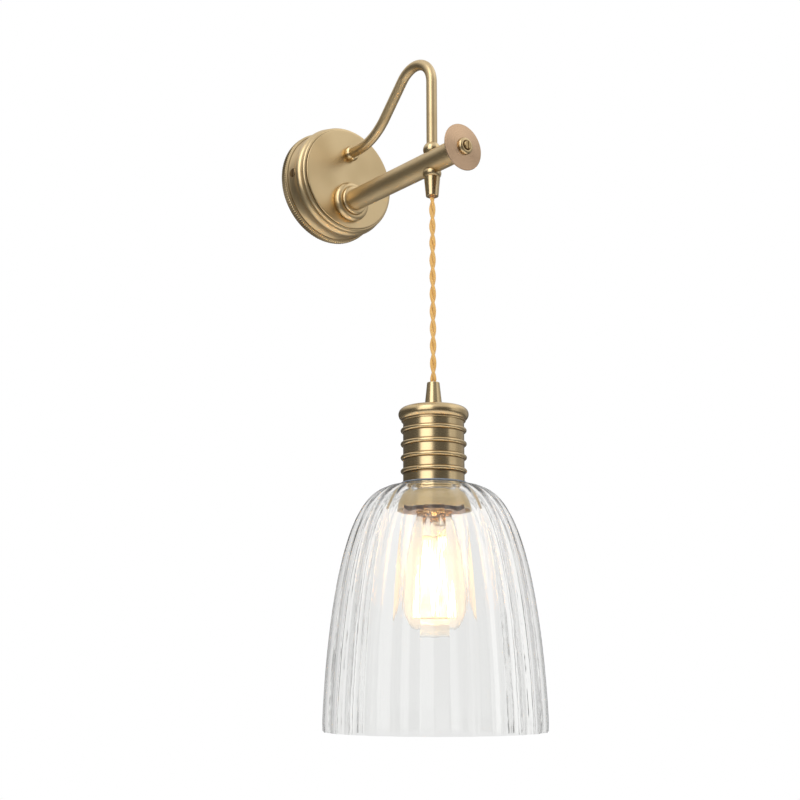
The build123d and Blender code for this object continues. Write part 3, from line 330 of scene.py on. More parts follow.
class Value:
    """A number that varies over a surface. Arithmetic on it adds Math nodes."""

    def __init__(self, paint, socket):
        self.paint, self.socket = paint, socket

    def tap(self, name):
        """Another output of the same node."""
        return Value(self.paint, self.socket.node.outputs[name])

    def _math(self, operation, *values):
        return self.paint.node("Math", {"operation": operation}, dict(enumerate(values)))

    def __add__(self, other): return self._math("ADD", self, other)
    def __radd__(self, other): return self._math("ADD", other, self)
    def __sub__(self, other): return self._math("SUBTRACT", self, other)
    def __rsub__(self, other): return self._math("SUBTRACT", other, self)
    def __mul__(self, other): return self._math("MULTIPLY", self, other)
    def __rmul__(self, other): return self._math("MULTIPLY", other, self)


class Paint:
    """A node tree that is written as expressions."""

    def __init__(self, tree):
        self.tree = tree

    def node(self, kind, settings=None, inputs=None, out=0):
        """Any node: its settings first, then the values or links of its sockets. Gives one output."""
        made = self.tree.nodes.new("ShaderNode" + kind)
        for key, value in (settings or {}).items():
            setattr(made, key, value)
        for key, value in (inputs or {}).items():
            if isinstance(value, Value):
                self.tree.links.new(value.socket, made.inputs[key])
            else:
                made.inputs[key].default_value = value
        return Value(self, made.outputs[out])

    def finish(self, kind, surface):
        """The tree's last node."""
        self.tree.links.new(surface.socket, self.tree.nodes.new("ShaderNode" + kind).inputs["Surface"])

    def blend(self, factor, first, second):
        """One colour into another."""
        return self.node("Mix", {"data_type": "RGBA"}, {0: factor, 6: first, 7: second}, out=2)

    def noise(self, vector, scale, detail=2.0, roughness=0.5):
        """Soft noise of 0 to 1."""
        return self.node("TexNoise", None, {
            "Vector": vector, "Scale": scale, "Detail": detail, "Roughness": roughness})

    def step(self, value, low, high):
        """0 below low, 1 above high, smooth between."""
        return self.node("MapRange", {"interpolation_type": "SMOOTHSTEP"}, {0: value, 1: low, 2: high})

    def band(self, value, low, full_from, full_to, high):
        """1 between the two middle values, and 0 below low and above high."""
        return self.step(value, low, full_from) * (1 - self.step(value, full_to, high))

    def apart(self, vector):
        """The three numbers of a vector."""
        split = self.node("SeparateXYZ", None, {0: vector})
        return split, split.tap("Y"), split.tap("Z")

    def together(self, x, y, z=0.0):
        """A vector of three numbers."""
        return self.node("CombineXYZ", None, {0: x, 1: y, 2: z})

    def place(self):
        """Object coordinates, in metres."""
        return self.node("TexCoord").tap("Object")

    def surface(self):
        """The piece's own map, in metres round and along."""
        return self.node("UVMap", {"uv_map": "surface"})


def colour(red, green, blue):
    """A display colour of 0 to 255 as the shader's linear one."""
    c = np.array([red, green, blue]) / 255
    linear = np.where(c <= 0.04045, c / 12.92, ((c + 0.055) / 1.055) ** 2.4)
    return (*linear.tolist(), 1.0)


def material(name, fixed, varying):
    """A Principled material: fixed values on its sockets, and varying ones from a function of its Paint."""
    made = bpy.data.materials.new(name)
    made.use_nodes = True
    made.node_tree.nodes.clear()
    paint = Paint(made.node_tree)
    values = dict(fixed)
    values.update(varying(paint))
    paint.finish("OutputMaterial", paint.node("BsdfPrincipled", None, values))
    return made


def satin_metal(name, light, dark, roughness, along_scale, around_scale, groove=1.0, rings=0.22):
    """Brushed brass: fine lines from a noise stretched on the piece's map, a slow tarnish over the piece,
    and a brown patina with painted shade where the surface lies in a groove."""

    def varying(paint):
        u, v, _ = paint.apart(paint.surface())
        lines = paint.noise(paint.together(u * around_scale, v * along_scale), 1.0, 1.0, 0.5)
        slow = paint.noise(paint.place(), 30.0, 1.0, 0.5)
        cloud = paint.step(slow, 0.38, 0.72)
        # patina and painted shade: the deeper the surface lies in a groove, the browner and darker it is
        # painted
        deep = paint.node("Attribute", {"attribute_name": "hollow"}, out="Fac") * groove
        brass = paint.blend(cloud * 0.30 + lines * 0.08, light, dark)
        return {
            "Base Color": paint.blend(deep, brass, BRASS_GROOVE_PATINA_AND_SHADE),
            "Roughness": cloud * 0.04 + lines * 0.03 + deep * 0.15 + (roughness - 0.035),
            "Normal": paint.node("Bump", None, {
                "Height": lines, "Strength": rings, "Distance": 0.0002}),
        }

    return material(name, {"Metallic": 1.0}, varying)


def plain(name, light, dark, roughness, scale, metallic=0.0, bump=0.1, fixed=None):
    """A moulded, drawn or cast finish: two close tones and a fine grain, both from noise on the piece."""

    def varying(paint):
        grain = paint.noise(paint.place(), scale * 9, 2.0, 0.6)
        slow = paint.noise(paint.place(), scale, 2.0, 0.5)
        return {
            "Base Color": paint.blend(paint.step(slow, 0.35, 0.65), light, dark),
            "Roughness": grain * 0.16 + (roughness - 0.08),
            "Normal": paint.node("Bump", None, {
                "Height": grain, "Strength": bump, "Distance": 0.0001}),
        }

    return material(name, {"Metallic": metallic, **(fixed or {})}, varying)


def cloth_flex():
    """Braided cloth on a core: two sets of slanting yarns, sin(round + along) and sin(round - along)."""

    def varying(paint):
        u, v, _ = paint.apart(paint.surface())
        turn, run = YARNS / (CORE_R * MM), 2 * np.pi / (YARN_STEP * MM)
        one, two = (
            paint.node("Math", {"operation": "SINE"}, {0: u * turn + v * slant}) * 0.5 + 0.5
            for slant in (run, -run)
        )
        yarn = paint.node("Math", {"operation": "MAXIMUM"}, {0: one, 1: two})
        fuzz = paint.noise(paint.place(), 2600.0, 2.0, 0.6)
        slow = paint.noise(paint.place(), 160.0, 2.0, 0.5)
        height = yarn * 0.8 + fuzz * 0.3
        # painted light: the yarns' raised tops are painted lighter as a painted highlight, the dips between
        # them darker as painted shade
        lit = paint.step(height, 0.45, 1.0)
        gold = paint.blend(slow, colour(236, 186, 98), colour(248, 210, 132))
        return {
            "Base Color": paint.blend(lit, colour(166, 110, 42), gold),
            "Roughness": 0.72 - lit * 0.18,
            "Normal": paint.node("Bump", None, {"Height": height, "Strength": 0.75, "Distance": 0.00022}),
        }

    return material("flex_cloth", {"Sheen Weight": 0.35, "Sheen Roughness": 0.4}, varying)


def clear_glass(name, tint, ripple_scale, ripple, roughness, bend):
    """Pressed glass: clear, with slow ripples in its surface and fine lines that run down it."""

    def varying(paint):
        u, v, _ = paint.apart(paint.surface())
        slow = paint.noise(paint.place(), ripple_scale, 2.0, 0.5)
        drawn = paint.noise(paint.together(u * 420.0, v * 7.0), 1.0, 2.0, 0.6)
        return {"Normal": paint.node("Bump", None, {
            "Height": slow + drawn * 0.16, "Strength": ripple, "Distance": 0.002})}

    return material(name, {
        "Base Color": tint, "Transmission Weight": 1.0, "IOR": bend, "Roughness": roughness,
    }, varying)


def glowing_glass():
    """The bulb's envelope: clear glass, warm-tinted, with a faint painted glow at the cage's height, standing
    in for the filament's light in the glass.
    """

    def varying(paint):
        _, _, z = paint.apart(paint.place())
        # painted glow: a band at the cage's height where the glass is made to give off warm light
        cage = paint.band(z, -0.362, -0.345, -0.315, -0.285)
        slow = paint.noise(paint.place(), 40.0, 1.0, 0.5)
        return {
            "Emission Color": paint.blend(cage, colour(20, 10, 2), colour(255, 196, 120)),
            "Normal": paint.node("Bump", None, {"Height": slow, "Strength": 0.05, "Distance": 0.001}),
        }

    return material("bulb_glass", {
        "Base Color": (0.985, 0.955, 0.90, 1), "Transmission Weight": 1.0, "IOR": 1.5,
        "Roughness": 0.0, "Emission Strength": 0.08,
    }, varying)


def hot_wire():
    """The lit filament: almost white, more orange towards its ends."""

    def varying(paint):
        _, _, z = paint.apart(paint.place())
        middle = paint.band(z, -0.352, -0.335, -0.315, -0.300)
        return {"Emission Color": paint.blend(middle, colour(255, 170, 80), colour(255, 226, 170))}

    return material("filament", {"Base Color": colour(80, 50, 30), "Emission Strength": 17.0}, varying)


BRASS_LIGHT, BRASS_DARK = (0.67, 0.515, 0.295, 1), (0.44, 0.315, 0.155, 1)
DISC_LIGHT, DISC_DARK = (0.58, 0.40, 0.26, 1), (0.44, 0.295, 0.175, 1)
# the shade ring's brass, painted darker as painted shade on it inside the glass
RING_SHADED_LIGHT, RING_SHADED_DARK = (0.46, 0.35, 0.18, 1), (0.10, 0.07, 0.03, 1)
# the side screws' brass, painted darker as painted shade in their recesses
SCREW_SHADED_LIGHT, SCREW_SHADED_DARK = (0.34, 0.23, 0.11, 1), (0.22, 0.14, 0.06, 1)
CAP_LIGHT, CAP_DARK = (0.70, 0.55, 0.30, 1), (0.55, 0.40, 0.19, 1)
# the brown of patina and painted shade in the brass's grooves
BRASS_GROOVE_PATINA_AND_SHADE = colour(84, 54, 24)

turned_brass = satin_metal("satin_brass", BRASS_LIGHT, BRASS_DARK, 0.26, 3600.0, 9.0, rings=0.03)
cover_brass = satin_metal("satin_brass_cover", BRASS_LIGHT, BRASS_DARK, 0.36, 3600.0, 9.0, rings=0.03)
disc_brass = satin_metal("satin_brass_disc", DISC_LIGHT, DISC_DARK, 0.26, 3600.0, 9.0, rings=0.35)
# painted shade: the ring is the same brass as the rest, painted darker
shaded_ring_brass = satin_metal("satin_brass_ring_painted_shade", RING_SHADED_LIGHT, RING_SHADED_DARK, 0.20, 90.0, 9.0, rings=0.02)
drawn_brass = satin_metal(
    "satin_brass_drawn", BRASS_LIGHT, BRASS_DARK, 0.40, 14.0, 1200.0, groove=0.0, rings=0.008)

FINISHES = {
    "satin_brass": plain("satin_brass_small", BRASS_LIGHT, BRASS_DARK, 0.32, 60.0, 1.0, 0.08),
    # painted shade: the side screws are the same brass, painted darker for the shade in their recesses
    "cover_screws": plain("satin_brass_screw_painted_shade", SCREW_SHADED_LIGHT, SCREW_SHADED_DARK, 0.30, 60.0, 1.0, 0.08),
    "bulb_brass": plain("bulb_brass", CAP_LIGHT, CAP_DARK, 0.26, 60.0, 1.0, 0.08),
    "plated_steel": plain("plated_steel", colour(196, 197, 200), colour(150, 152, 156), 0.36, 55.0, 1.0),
    "contact_tin": plain("contact_tin", colour(190, 190, 192), colour(150, 150, 152), 0.40, 120.0, 1.0),
    "support_wire": plain("support_wire", colour(150, 144, 138), colour(110, 104, 98), 0.36, 200.0, 1.0),
    "moulded_nylon": plain("moulded_nylon", colour(232, 230, 222), colour(214, 211, 202), 0.45, 40.0),
    "black_rubber": plain("black_rubber", colour(38, 38, 39), colour(24, 24, 25), 0.72, 50.0, bump=0.25),
    "core_sleeve": plain("core_sleeve", colour(122, 84, 56), colour(96, 64, 40), 0.38, 60.0),
    "earth_sleeve": plain("earth_sleeve", colour(96, 156, 62), colour(196, 190, 60), 0.38, 150.0),
    "phenolic": plain("phenolic", colour(44, 38, 34), colour(30, 26, 23), 0.34, 45.0),
    "clear_gasket": plain(
        "clear_gasket", colour(150, 160, 172), colour(116, 126, 140), 0.30, 70.0,
        fixed={"Transmission Weight": 0.25, "IOR": 1.42}),
    "flex_cloth": cloth_flex(),
    "shade_glass": clear_glass("shade_glass", (0.990, 0.992, 0.985, 1), 60.0, 0.12, 0.06, 1.40),
    "bulb_glass": glowing_glass(),
    "filament": hot_wire(),
}


# ---------------------------------------------------------------- free flex

def smooth_route(points_mm):
    """Points read from the smooth line whose control points are the route's, in metres."""
    curve = bpy.data.curves.new("route", "CURVE")
    curve.dimensions = "3D"
    curve.resolution_u = 64
    spline = curve.splines.new("NURBS")
    spline.points.add(len(points_mm) - 1)
    for point, place in zip(spline.points, points_mm):
        point.co = (*(np.array(place) * MM), 1.0)
    spline.order_u = 3
    spline.use_endpoint_u = True
    line = bpy.data.objects.new("route", curve)
    bpy.context.collection.objects.link(line)
    read = bpy.data.meshes.new_from_object(line)
    points = np.empty(len(read.vertices) * 3)
    read.vertices.foreach_get("co", points)
    bpy.data.objects.remove(line)
    return points.reshape(-1, 3)


def strand_grid(line, phase, around=18, count=440):
    """One core: a circle carried along a helix round the route.
    centre = line + offset * (cos t, sin t), with t = phase + 2 pi * distance / pitch.
    Near an end both the offset and the circle follow a half sphere of the flex's radius."""
    distance = line_lengths(line)
    at = np.linspace(0, distance[-1], count)
    centre_line = np.stack([np.interp(at, distance, line[:, k]) for k in range(3)], 1)
    turn = phase + 2 * np.pi * at / (TWIST_PITCH * MM)
    near = np.clip(np.minimum(at, at[-1] - at) / (FLEX_R * MM), 0, 1)
    ease = np.sqrt(1 - (1 - near) ** 2)
    spoke = np.stack([np.cos(turn), np.sin(turn), 0 * turn], 1)
    centre = centre_line + ((FLEX_R - CORE_R) * MM * ease)[:, None] * spoke
    along = np.gradient(centre, axis=0)
    along /= np.linalg.norm(along, axis=1, keepdims=True)
    out = spoke - along * np.einsum("ij,ij->i", spoke, along)[:, None]
    out /= np.linalg.norm(out, axis=1, keepdims=True)
    sideways = np.cross(along, out)
    t = np.linspace(0, 2 * np.pi, around, endpoint=False)
    ring = np.cos(t)[None, :, None] * out[:, None] + np.sin(t)[None, :, None] * sideways[:, None]
    return centre[:, None] + (CORE_R * MM * ease)[:, None, None] * ring


def make_flex():
    """The free flex hangs straight down between the two grips, on the lamp's axis."""
    top, foot = MOUTH_Z - REST_GAP, HOLDER_MOUTH_Z + REST_GAP
    route = smooth_route([(0, -PROJECTION, z) for z in np.linspace(top, foot, 7)])
    strands = [strand_grid(route, phase) for phase in (0.0, np.pi)]
    flex = piece_from_grids(
        "twisted_flex", strands, "pendant_cord", FINISHES["flex_cloth"], "flex_cloth", ["cord"], sharp=180)


# ---------------------------------------------------------------- backplate and arm

def knurled_band():
    """The backplate's rim: a band whose radius goes up and down once for each tooth,
    radius = r + depth * (|2 * frac(tooth) - 1| - 1), flattening to a round edge at both sides."""
    profile = (
        Outline(5.9, 41.6).to(5.9, 45.1).to(5.75, 45.6).to(5.4, 45.95).to(4.9, 46.1)
        .to(1.3, 46.1).to(0.8, 45.95).to(0.45, 45.6).to(0.3, 45.1).to(0.3, 41.6)
    ).line()
    share_cut = np.array([0, 0, 0.25, 0.8, 1, 1, 0.8, 0.25, 0, 0])
    around = KNURL_TEETH * KNURL_STEPS
    grid = level(profile, 0, around)
    phase = (np.arange(around) / KNURL_STEPS) % 1
    wave = KNURL_DEPTH * MM * (np.abs(2 * phase - 1) - 1)
    spoke = grid * np.array([1, 0, 1])
    spoke /= np.linalg.norm(spoke, axis=2, keepdims=True)
    return grid + spoke * (share_cut[:, None] * wave[None])[:, :, None]


def cover_profile():
    """The backplate in section: lip, hollow, roll, bead, face, and the hollow inside."""
    return (
        Outline(5.9, 41.5).to(5.9, 45.0).to(6.15, 45.45).to(6.75, 45.45).to(7.05, 45.1).to(7.4, 44.2, 2)
        .arc((12.2, 43.1), (17.2, 43.6), 24).arc((20.8, 44.7), (24.0, 42.1), 24).to(24.3, 41.8).to(24.6, 42.1)
        .arc((26.7, 43.25), (28.3, 41.5), 16).to(28.4, 40.7).to(28.75, 40.5).to(28.85, 40.95).to(29.3, 40.95)
        .arc((29.68, 40.72), (29.8, 40.3), 5).to(29.8, 30.0, 6).to(29.8, 4.0, 10).to(29.8, 0)
        .to(27.4, 0).to(27.4, 36.4).to(24.1, 41.0).to(18.5, 41.4).to(5.9, 41.5)
    ).line()


def make_backplate():
    """The turned cover, its knurled band, and the recess of each side screw."""
    cover = turned_piece(
        "backplate_cover_turned", cover_profile(), level_at(0), "root", ["backplate_cover"], around=256,
        finish=cover_brass)
    for side in (-1, 1):
        cut_round_hole(cover, (side * SCREW_OUT, -SCREW_DEPTH, 0), SCREW_RECESS_R, SCREW_RECESS)
    piece_from_grids(
        "backplate_knurl", [knurled_band()], "root", turned_brass, "satin_brass", ["backplate_cover"],
        sharp=20, along_closed=True)


def cut_round_hole(piece, centre, radius, length):
    """Takes a round hole along X out of a piece, by a cylinder that is then thrown away.
    The cylinder is flat-shaded, so that its walls keep a clean edge against the turned surface."""
    profile = np.array([[-length / 2, 0], [-length / 2, radius], [length / 2, radius], [length / 2, 0]])
    cutter = show("cutter", mesh_from_grids("cutter", [turned_across(profile, centre, 40)]))
    cutter.data.shade_flat()
    cut = piece.modifiers.new("recess", "BOOLEAN")
    cut.operation, cut.solver, cut.object = "DIFFERENCE", "EXACT", cutter
    graph = bpy.context.evaluated_depsgraph_get()
    finished = bpy.data.meshes.new_from_object(piece.evaluated_get(graph))
    piece.modifiers.clear()
    piece.data = finished
    bpy.data.objects.remove(cutter)


def turned_across(profile, centre, around):
    """A profile turned round a level axis along X, whose along is measured from its centre."""
    t = np.linspace(0, 2 * np.pi, around, endpoint=False)
    spoke = np.stack([0 * t, np.cos(t), np.sin(t)], 1)
    grid = profile[:, 0, None, None] * np.array([1.0, 0, 0]) + profile[:, 1, None, None] * spoke[None]
    return (grid + np.array(centre, float)) * MM


def make_arm():
    """Collar, tube, end disc and its button, on the arm's axis. The tube's ends lie inside its neighbours."""
    collar = (
        Outline(COVER_DEPTH, 0).to(COVER_DEPTH, 14.3).to(COVER_DEPTH + 0.1, 14.7)
        .arc((33.52, 15.8), (35.8, 10.8), 26).arc((37.8, 11.4), (38.8, 10.2), 10)
        .to(38.8, 8.6).to(38.8, 0)
    ).line()
    turned_piece(
        "arm_collar_turned", collar, level_at(ARM_HEIGHT), "root", ["arm_collar"], finish=cover_brass)
    start, end = COLLAR_END - 0.5, ARM_END + 0.15
    tube = Outline(start, 0).to(start, ARM_R).to(end, ARM_R, 40).to(end, 0)
    piece_from_grids(
        "arm_tube_drawn", [level(tube.line(), ARM_HEIGHT)], "root", drawn_brass, "satin_brass", ["arm_tube"])
    disc = (
        Outline(ARM_END, 0).to(ARM_END, 8.5).to(ARM_END + 0.1, 16.7, 6)
        .arc((ARM_END + 0.3, 17.25), (ARM_END + 0.55, 17.3), 5)
        .arc((ARM_END + 0.8, 17.2), (ARM_END + 0.92, 16.9), 5)
        .to(ARM_END + 2.25, 6.6, 12).to(ARM_END + 2.3, 5.6).to(ARM_END + 2.3, 0)
    ).line()
    turned_piece("end_disc_turned", disc, level_at(ARM_HEIGHT), "root", ["end_disc"], finish=disc_brass)
    front = ARM_END + 2.3
    button = (
        Outline(front, 0).to(front, 6.15).arc((front + 2.1, 5.9), (front + 3.0, 4.2), 16).to(front + 3.0, 4.0)
        .arc((front + 2.8, 3.65), (front + 2.0, 3.5), 6).to(front + 2.0, 0)
    ).line()
    turned_piece("end_button_turned", button, level_at(ARM_HEIGHT), "root", ["end_button"])


def neck_line():
    """The bent tube's middle line: straight out, up a slope, over the top and down, with round bends."""
    top_y = -PROJECTION + NECK_BEND_TOP * (1 + np.sin(NECK_SLOPE))
    top_z = NECK_PEAK - NECK_BEND_TOP * (1 - np.cos(NECK_SLOPE))
    rise = np.tan(NECK_SLOPE)
    corner_low = np.array([top_y + (top_z - NECK_HEIGHT) / rise, NECK_HEIGHT])
    corner_top = np.array([-PROJECTION, top_z + (top_y + PROJECTION) * rise])
    start, end = np.array([NECK_START, NECK_HEIGHT]), np.array([-PROJECTION, NECK_END])
    points = [start, corner_low, corner_top, end]
    line = [start[None]]
    for before, corner, after, bend in zip(points, points[1:], points[2:], (NECK_BEND_LOW, NECK_BEND_TOP)):
        into = (corner - before) / np.linalg.norm(corner - before)
        out = (after - corner) / np.linalg.norm(after - corner)
        turn = np.arccos(np.clip(into @ out, -1, 1))
        reach = bend * np.tan(turn / 2)
        bend_start = corner - into * reach
        hand = np.sign(into[0] * out[1] - into[1] * out[0])
        centre = bend_start + hand * bend * np.array([-into[1], into[0]])
        spoke = bend_start - centre
        t = hand * np.linspace(0, turn, max(int(turn / NECK_STEP), 8))
        straight = np.linspace(line[-1][-1], bend_start, 16)[1:-1]
        bent = centre + np.stack([
            np.cos(t) * spoke[0] - np.sin(t) * spoke[1],
            np.sin(t) * spoke[0] + np.cos(t) * spoke[1],
        ], 1)
        line += [straight, bent]
    line.append(np.linspace(line[-1][-1], end, 30)[1:])
    yz = np.concatenate(line)
    return np.c_[np.zeros(len(yz)), yz]


def make_gooseneck():
    """The bent tube, its boss on the backplate, and the two beads where it goes through the arm."""
    piece_from_grids(
        "gooseneck_tube_drawn", [tube_along(neck_line(), NECK_R)], "root", drawn_brass, "satin_brass",
        ["gooseneck_tube"], sharp=50)
    boss = (
        Outline(COVER_DEPTH, 0).to(COVER_DEPTH, 5.3).arc((32.7, 6.3), (35.4, 4.9), 18)
        .to(35.4, 4.1).to(35.4, 0)
    ).line()
    turned_piece("gooseneck_boss_turned", boss, level_at(NECK_HEIGHT), "root", ["gooseneck_boss"], around=96)
    top = ARM_HEIGHT + ARM_R
    upper = (
        Outline(top - 3, 0).to(top - 3, 4.8).arc((top + 2.6, 6.4), (top + 5.5, 4.8), 20).to(top + 5.5, 4.1)
        .to(top + 5.5, 0)
    ).line()
    turned_piece("upper_bead_turned", upper, upright, "root", ["upper_bead"], around=96)
    under = ARM_HEIGHT - ARM_R + 3
    lower = (
        Outline(BEAD_FOOT, 0).to(BEAD_FOOT, 5.1).arc((BEAD_FOOT + 2.2, 6.7), (under, 5.1), 20).to(under, 0)
    ).line()
    turned_piece("lower_bead_turned", lower, upright, "root", ["lower_bead"], around=96)


# ---------------------------------------------------------------- grips and lamp holder

def make_grips():
    """The two tapered cord grips, with their bores open to the flex."""
    upper = (
        Outline(BEAD_FOOT, 0).to(BEAD_FOOT, 5.9).to(MOUTH_Z + 0.4, 4.65, 10)
        .arc((MOUTH_Z + 0.1, 4.53), (MOUTH_Z, 4.25), 4).to(MOUTH_Z, 2.75)
        .to(MOUTH_Z + 9.0, 2.75).to(MOUTH_Z + 9.0, 0)
    ).line()
    turned_piece("arm_grip_turned", upper, upright, "root", ["arm_cord_grip"], around=96)
    lower = (
        Outline(HOLDER_MOUTH_Z - 9.0, 0).to(HOLDER_MOUTH_Z - 9.0, 2.75).to(HOLDER_MOUTH_Z, 2.75)
        .to(HOLDER_MOUTH_Z, 4.05).arc((HOLDER_MOUTH_Z - 0.1, 4.35), (HOLDER_MOUTH_Z - 0.4, 4.45), 4)
        .to(GRIP_FOOT, 6.2, 10).to(GRIP_FOOT, 5.0).to(GRIP_FOOT - 9.3, 5.0).to(GRIP_FOOT - 9.3, 0)
    ).line()
    turned_piece("holder_grip_turned", lower, upright, "holder_grip", ["holder_cord_grip"], around=96)


def make_holder():
    """The rolled cap and the ribbed shell."""
    roll_foot = CAP_TOP - 9.8
    cap = (
        Outline(CAP_TOP, 5.3).to(CAP_TOP, 12.0, 6).to(CAP_TOP - 0.25, 16.5, 4).to(CAP_TOP - 1.0, 19.6, 3)
        .arc((CAP_TOP - 6.2, 24.7), (roll_foot, 22.6), 34).to(SHELL_TOP + 0.2, 22.6).to(SHELL_TOP, 22.4)
        .to(SHELL_TOP, 20.3).to(SHELL_TOP - 4.5, 20.3).to(SHELL_TOP - 4.5, 18.3)
        .to(CAP_TOP - 3.0, 18.3).to(CAP_TOP - 2.0, 5.3)
    ).line()
    turned_piece("holder_cap_turned", cap, upright, "lamp", ["holder_cap"], closed=True)
    shell = Outline(SHELL_TOP, 20.4).to(SHELL_TOP, 21.4)
    for k in range(4):
        middle = SHELL_TOP - 6.4 - 9.6 * k
        shell.to(middle + 1.5, 21.4, 8).arc((middle, 23.15), (middle - 1.5, 21.4), 16)
    shell.to(SHELL_FOOT + 0.2, 21.4, 4).to(SHELL_FOOT, 21.2).to(SHELL_FOOT, 20.4)
    turned_piece(
        "holder_shell_turned", shell.line(), upright, "lamp", ["holder_shell"], around=200, closed=True)


def make_ring():
    """The flared ring that holds the glass up, seen through it."""
    ring = (
        Outline(RING_FOOT, 26.1).to(RING_TOP - 1.6, 22.6, 6).to(RING_TOP - 1.6, 21.4)
        .to(RING_TOP - 11.0, 21.4).to(RING_TOP - 11.0, 20.0).to(RING_TOP, 20.0).to(RING_TOP, 24.6)
        .arc((RING_TOP - 4.55, 26.85), (RING_FOOT, 27.7), 16).to(RING_FOOT, 26.9)
    ).line()
    turned_piece("shade_ring_turned", ring, upright, "ring", ["shade_ring"], closed=True, finish=shaded_ring_brass)


# ---------------------------------------------------------------- glass

def bell(drop, radius, height):
    """The bell's radius at a drop below its top: (r / R) ^ 4.55 = 1 - (1 - drop / height) ^ 1.6."""
    return radius * (1 - (1 - drop / height) ** 1.6) ** (1 / 4.55)


def flute_arc(angle):
    """How far in a flute's arc stands at an angle, from 0 on its crest to 1 in the valley.
    Between two valleys the arc is close to a parabola: share = (2 * turn from the crest) ^ 2."""
    turn = (angle - FIRST_CREST) / (2 * np.pi / FLUTES)
    return (2 * (turn - np.round(turn))) ** 2


def make_shade():
    """A closed shell of two walls, joined by the neck's flat and hole at the top and by a lip at the foot.
    Outside is a bell whose flutes are arcs softened towards a cosine, inside one with shallower cosines."""
    around = FLUTES * FLUTE_STEPS
    angle = np.linspace(0, 2 * np.pi, around, endpoint=False) + FIRST_CREST
    swell = 0.5 - 0.5 * np.cos((angle - FIRST_CREST) * FLUTES)
    share = flute_arc(angle) * 0.6 + swell * 0.4
    drops = 0.6 * (SHADE_HEIGHT / 0.6) ** np.linspace(0, 1, 44)
    drops = np.unique(np.r_[drops, np.linspace(24, SHADE_HEIGHT, 30)])
    outside = bell(drops, SHADE_R, SHADE_HEIGHT)[:, None] * (1 - FLUTE_DEPTH / SHADE_R * share[None])
    inner_height = NECK_UNDERSIDE - SHADE_FOOT
    inner_drops = (1.4 * (inner_height / 1.4) ** np.linspace(0, 1, 50))[::-1]
    inside = bell(inner_drops, SHADE_INNER_R, inner_height)[:, None] * (
        1 - INNER_FLUTE / SHADE_INNER_R * swell[None])
    flat = np.array([24.9, SHADE_HOLE_R, SHADE_HOLE_R, SHADE_HOLE_R + 1.0, 24.0])
    top = SHADE_TOP - GASKET_GAP
    z = np.r_[SHADE_TOP - drops, NECK_UNDERSIDE - inner_drops, [NECK_UNDERSIDE] * 2, [top] * 3]
    radius = np.concatenate([outside, inside, np.repeat(flat[:, None], around, 1)])
    radius[len(drops) - 1] -= LIP_EASE
    x, y = radius * np.cos(angle), radius * np.sin(angle) - PROJECTION
    grid = np.stack([x, y, np.repeat(z[:, None], around, 1)], 2) * MM
    shade = piece_from_grids(
        "glass_shade_fluted", [grid], "shade", FINISHES["shade_glass"], "shade_glass", ["glass_shade"],
        sharp=24, along_closed=True)
    shade.visible_shadow = False


def bulb_wall(inset):
    """The envelope's half outline, drawn in by a wall: neck, one long swelling arc, round tip."""
    narrow, wide = BULB_NECK_R - inset, BULB_R - inset
    widest = BULB_FOOT + BULB_R
    rise = BULB_GLASS_TOP - widest
    swell = ((wide - narrow) ** 2 + rise ** 2) / (2 * (wide - narrow))
    middle = wide - swell + (swell ** 2 - (rise / 2) ** 2) ** 0.5
    halfway = wide * np.sqrt(0.5)
    return (
        Outline(BULB_GLASS_TOP, narrow).arc((BULB_GLASS_TOP - rise / 2, middle), (widest, wide), 40)
        .arc((widest - halfway, halfway), (widest - wide, 0), 40)
    ).line()


def make_bulb():
    """The lit lamp: envelope of two thin walls, and the wire that goes up and down round its cage."""
    top, neck = BULB_GLASS_TOP + 1.5, BULB_NECK_R - BULB_WALL
    profile = np.r_[[[top, 0], [top, neck]], bulb_wall(0)]
    cavity = np.r_[[[top - 1.0, 0], [top - 1.0, neck - BULB_WALL]], bulb_wall(BULB_WALL)]
    envelope = piece_from_grids(
        "bulb_envelope", [upright(profile, 128), upright(cavity, 128)], "bulb", FINISHES["bulb_glass"],
        "bulb_glass", ["bulb_glass"], sharp=60, inward=(1,))
    envelope.visible_shadow = False
    filament = piece_from_grids(
        "filament_wire", [filament_grid()], "bulb", FINISHES["filament"], "filament", ["filament"], sharp=180)
    filament.visible_shadow = False


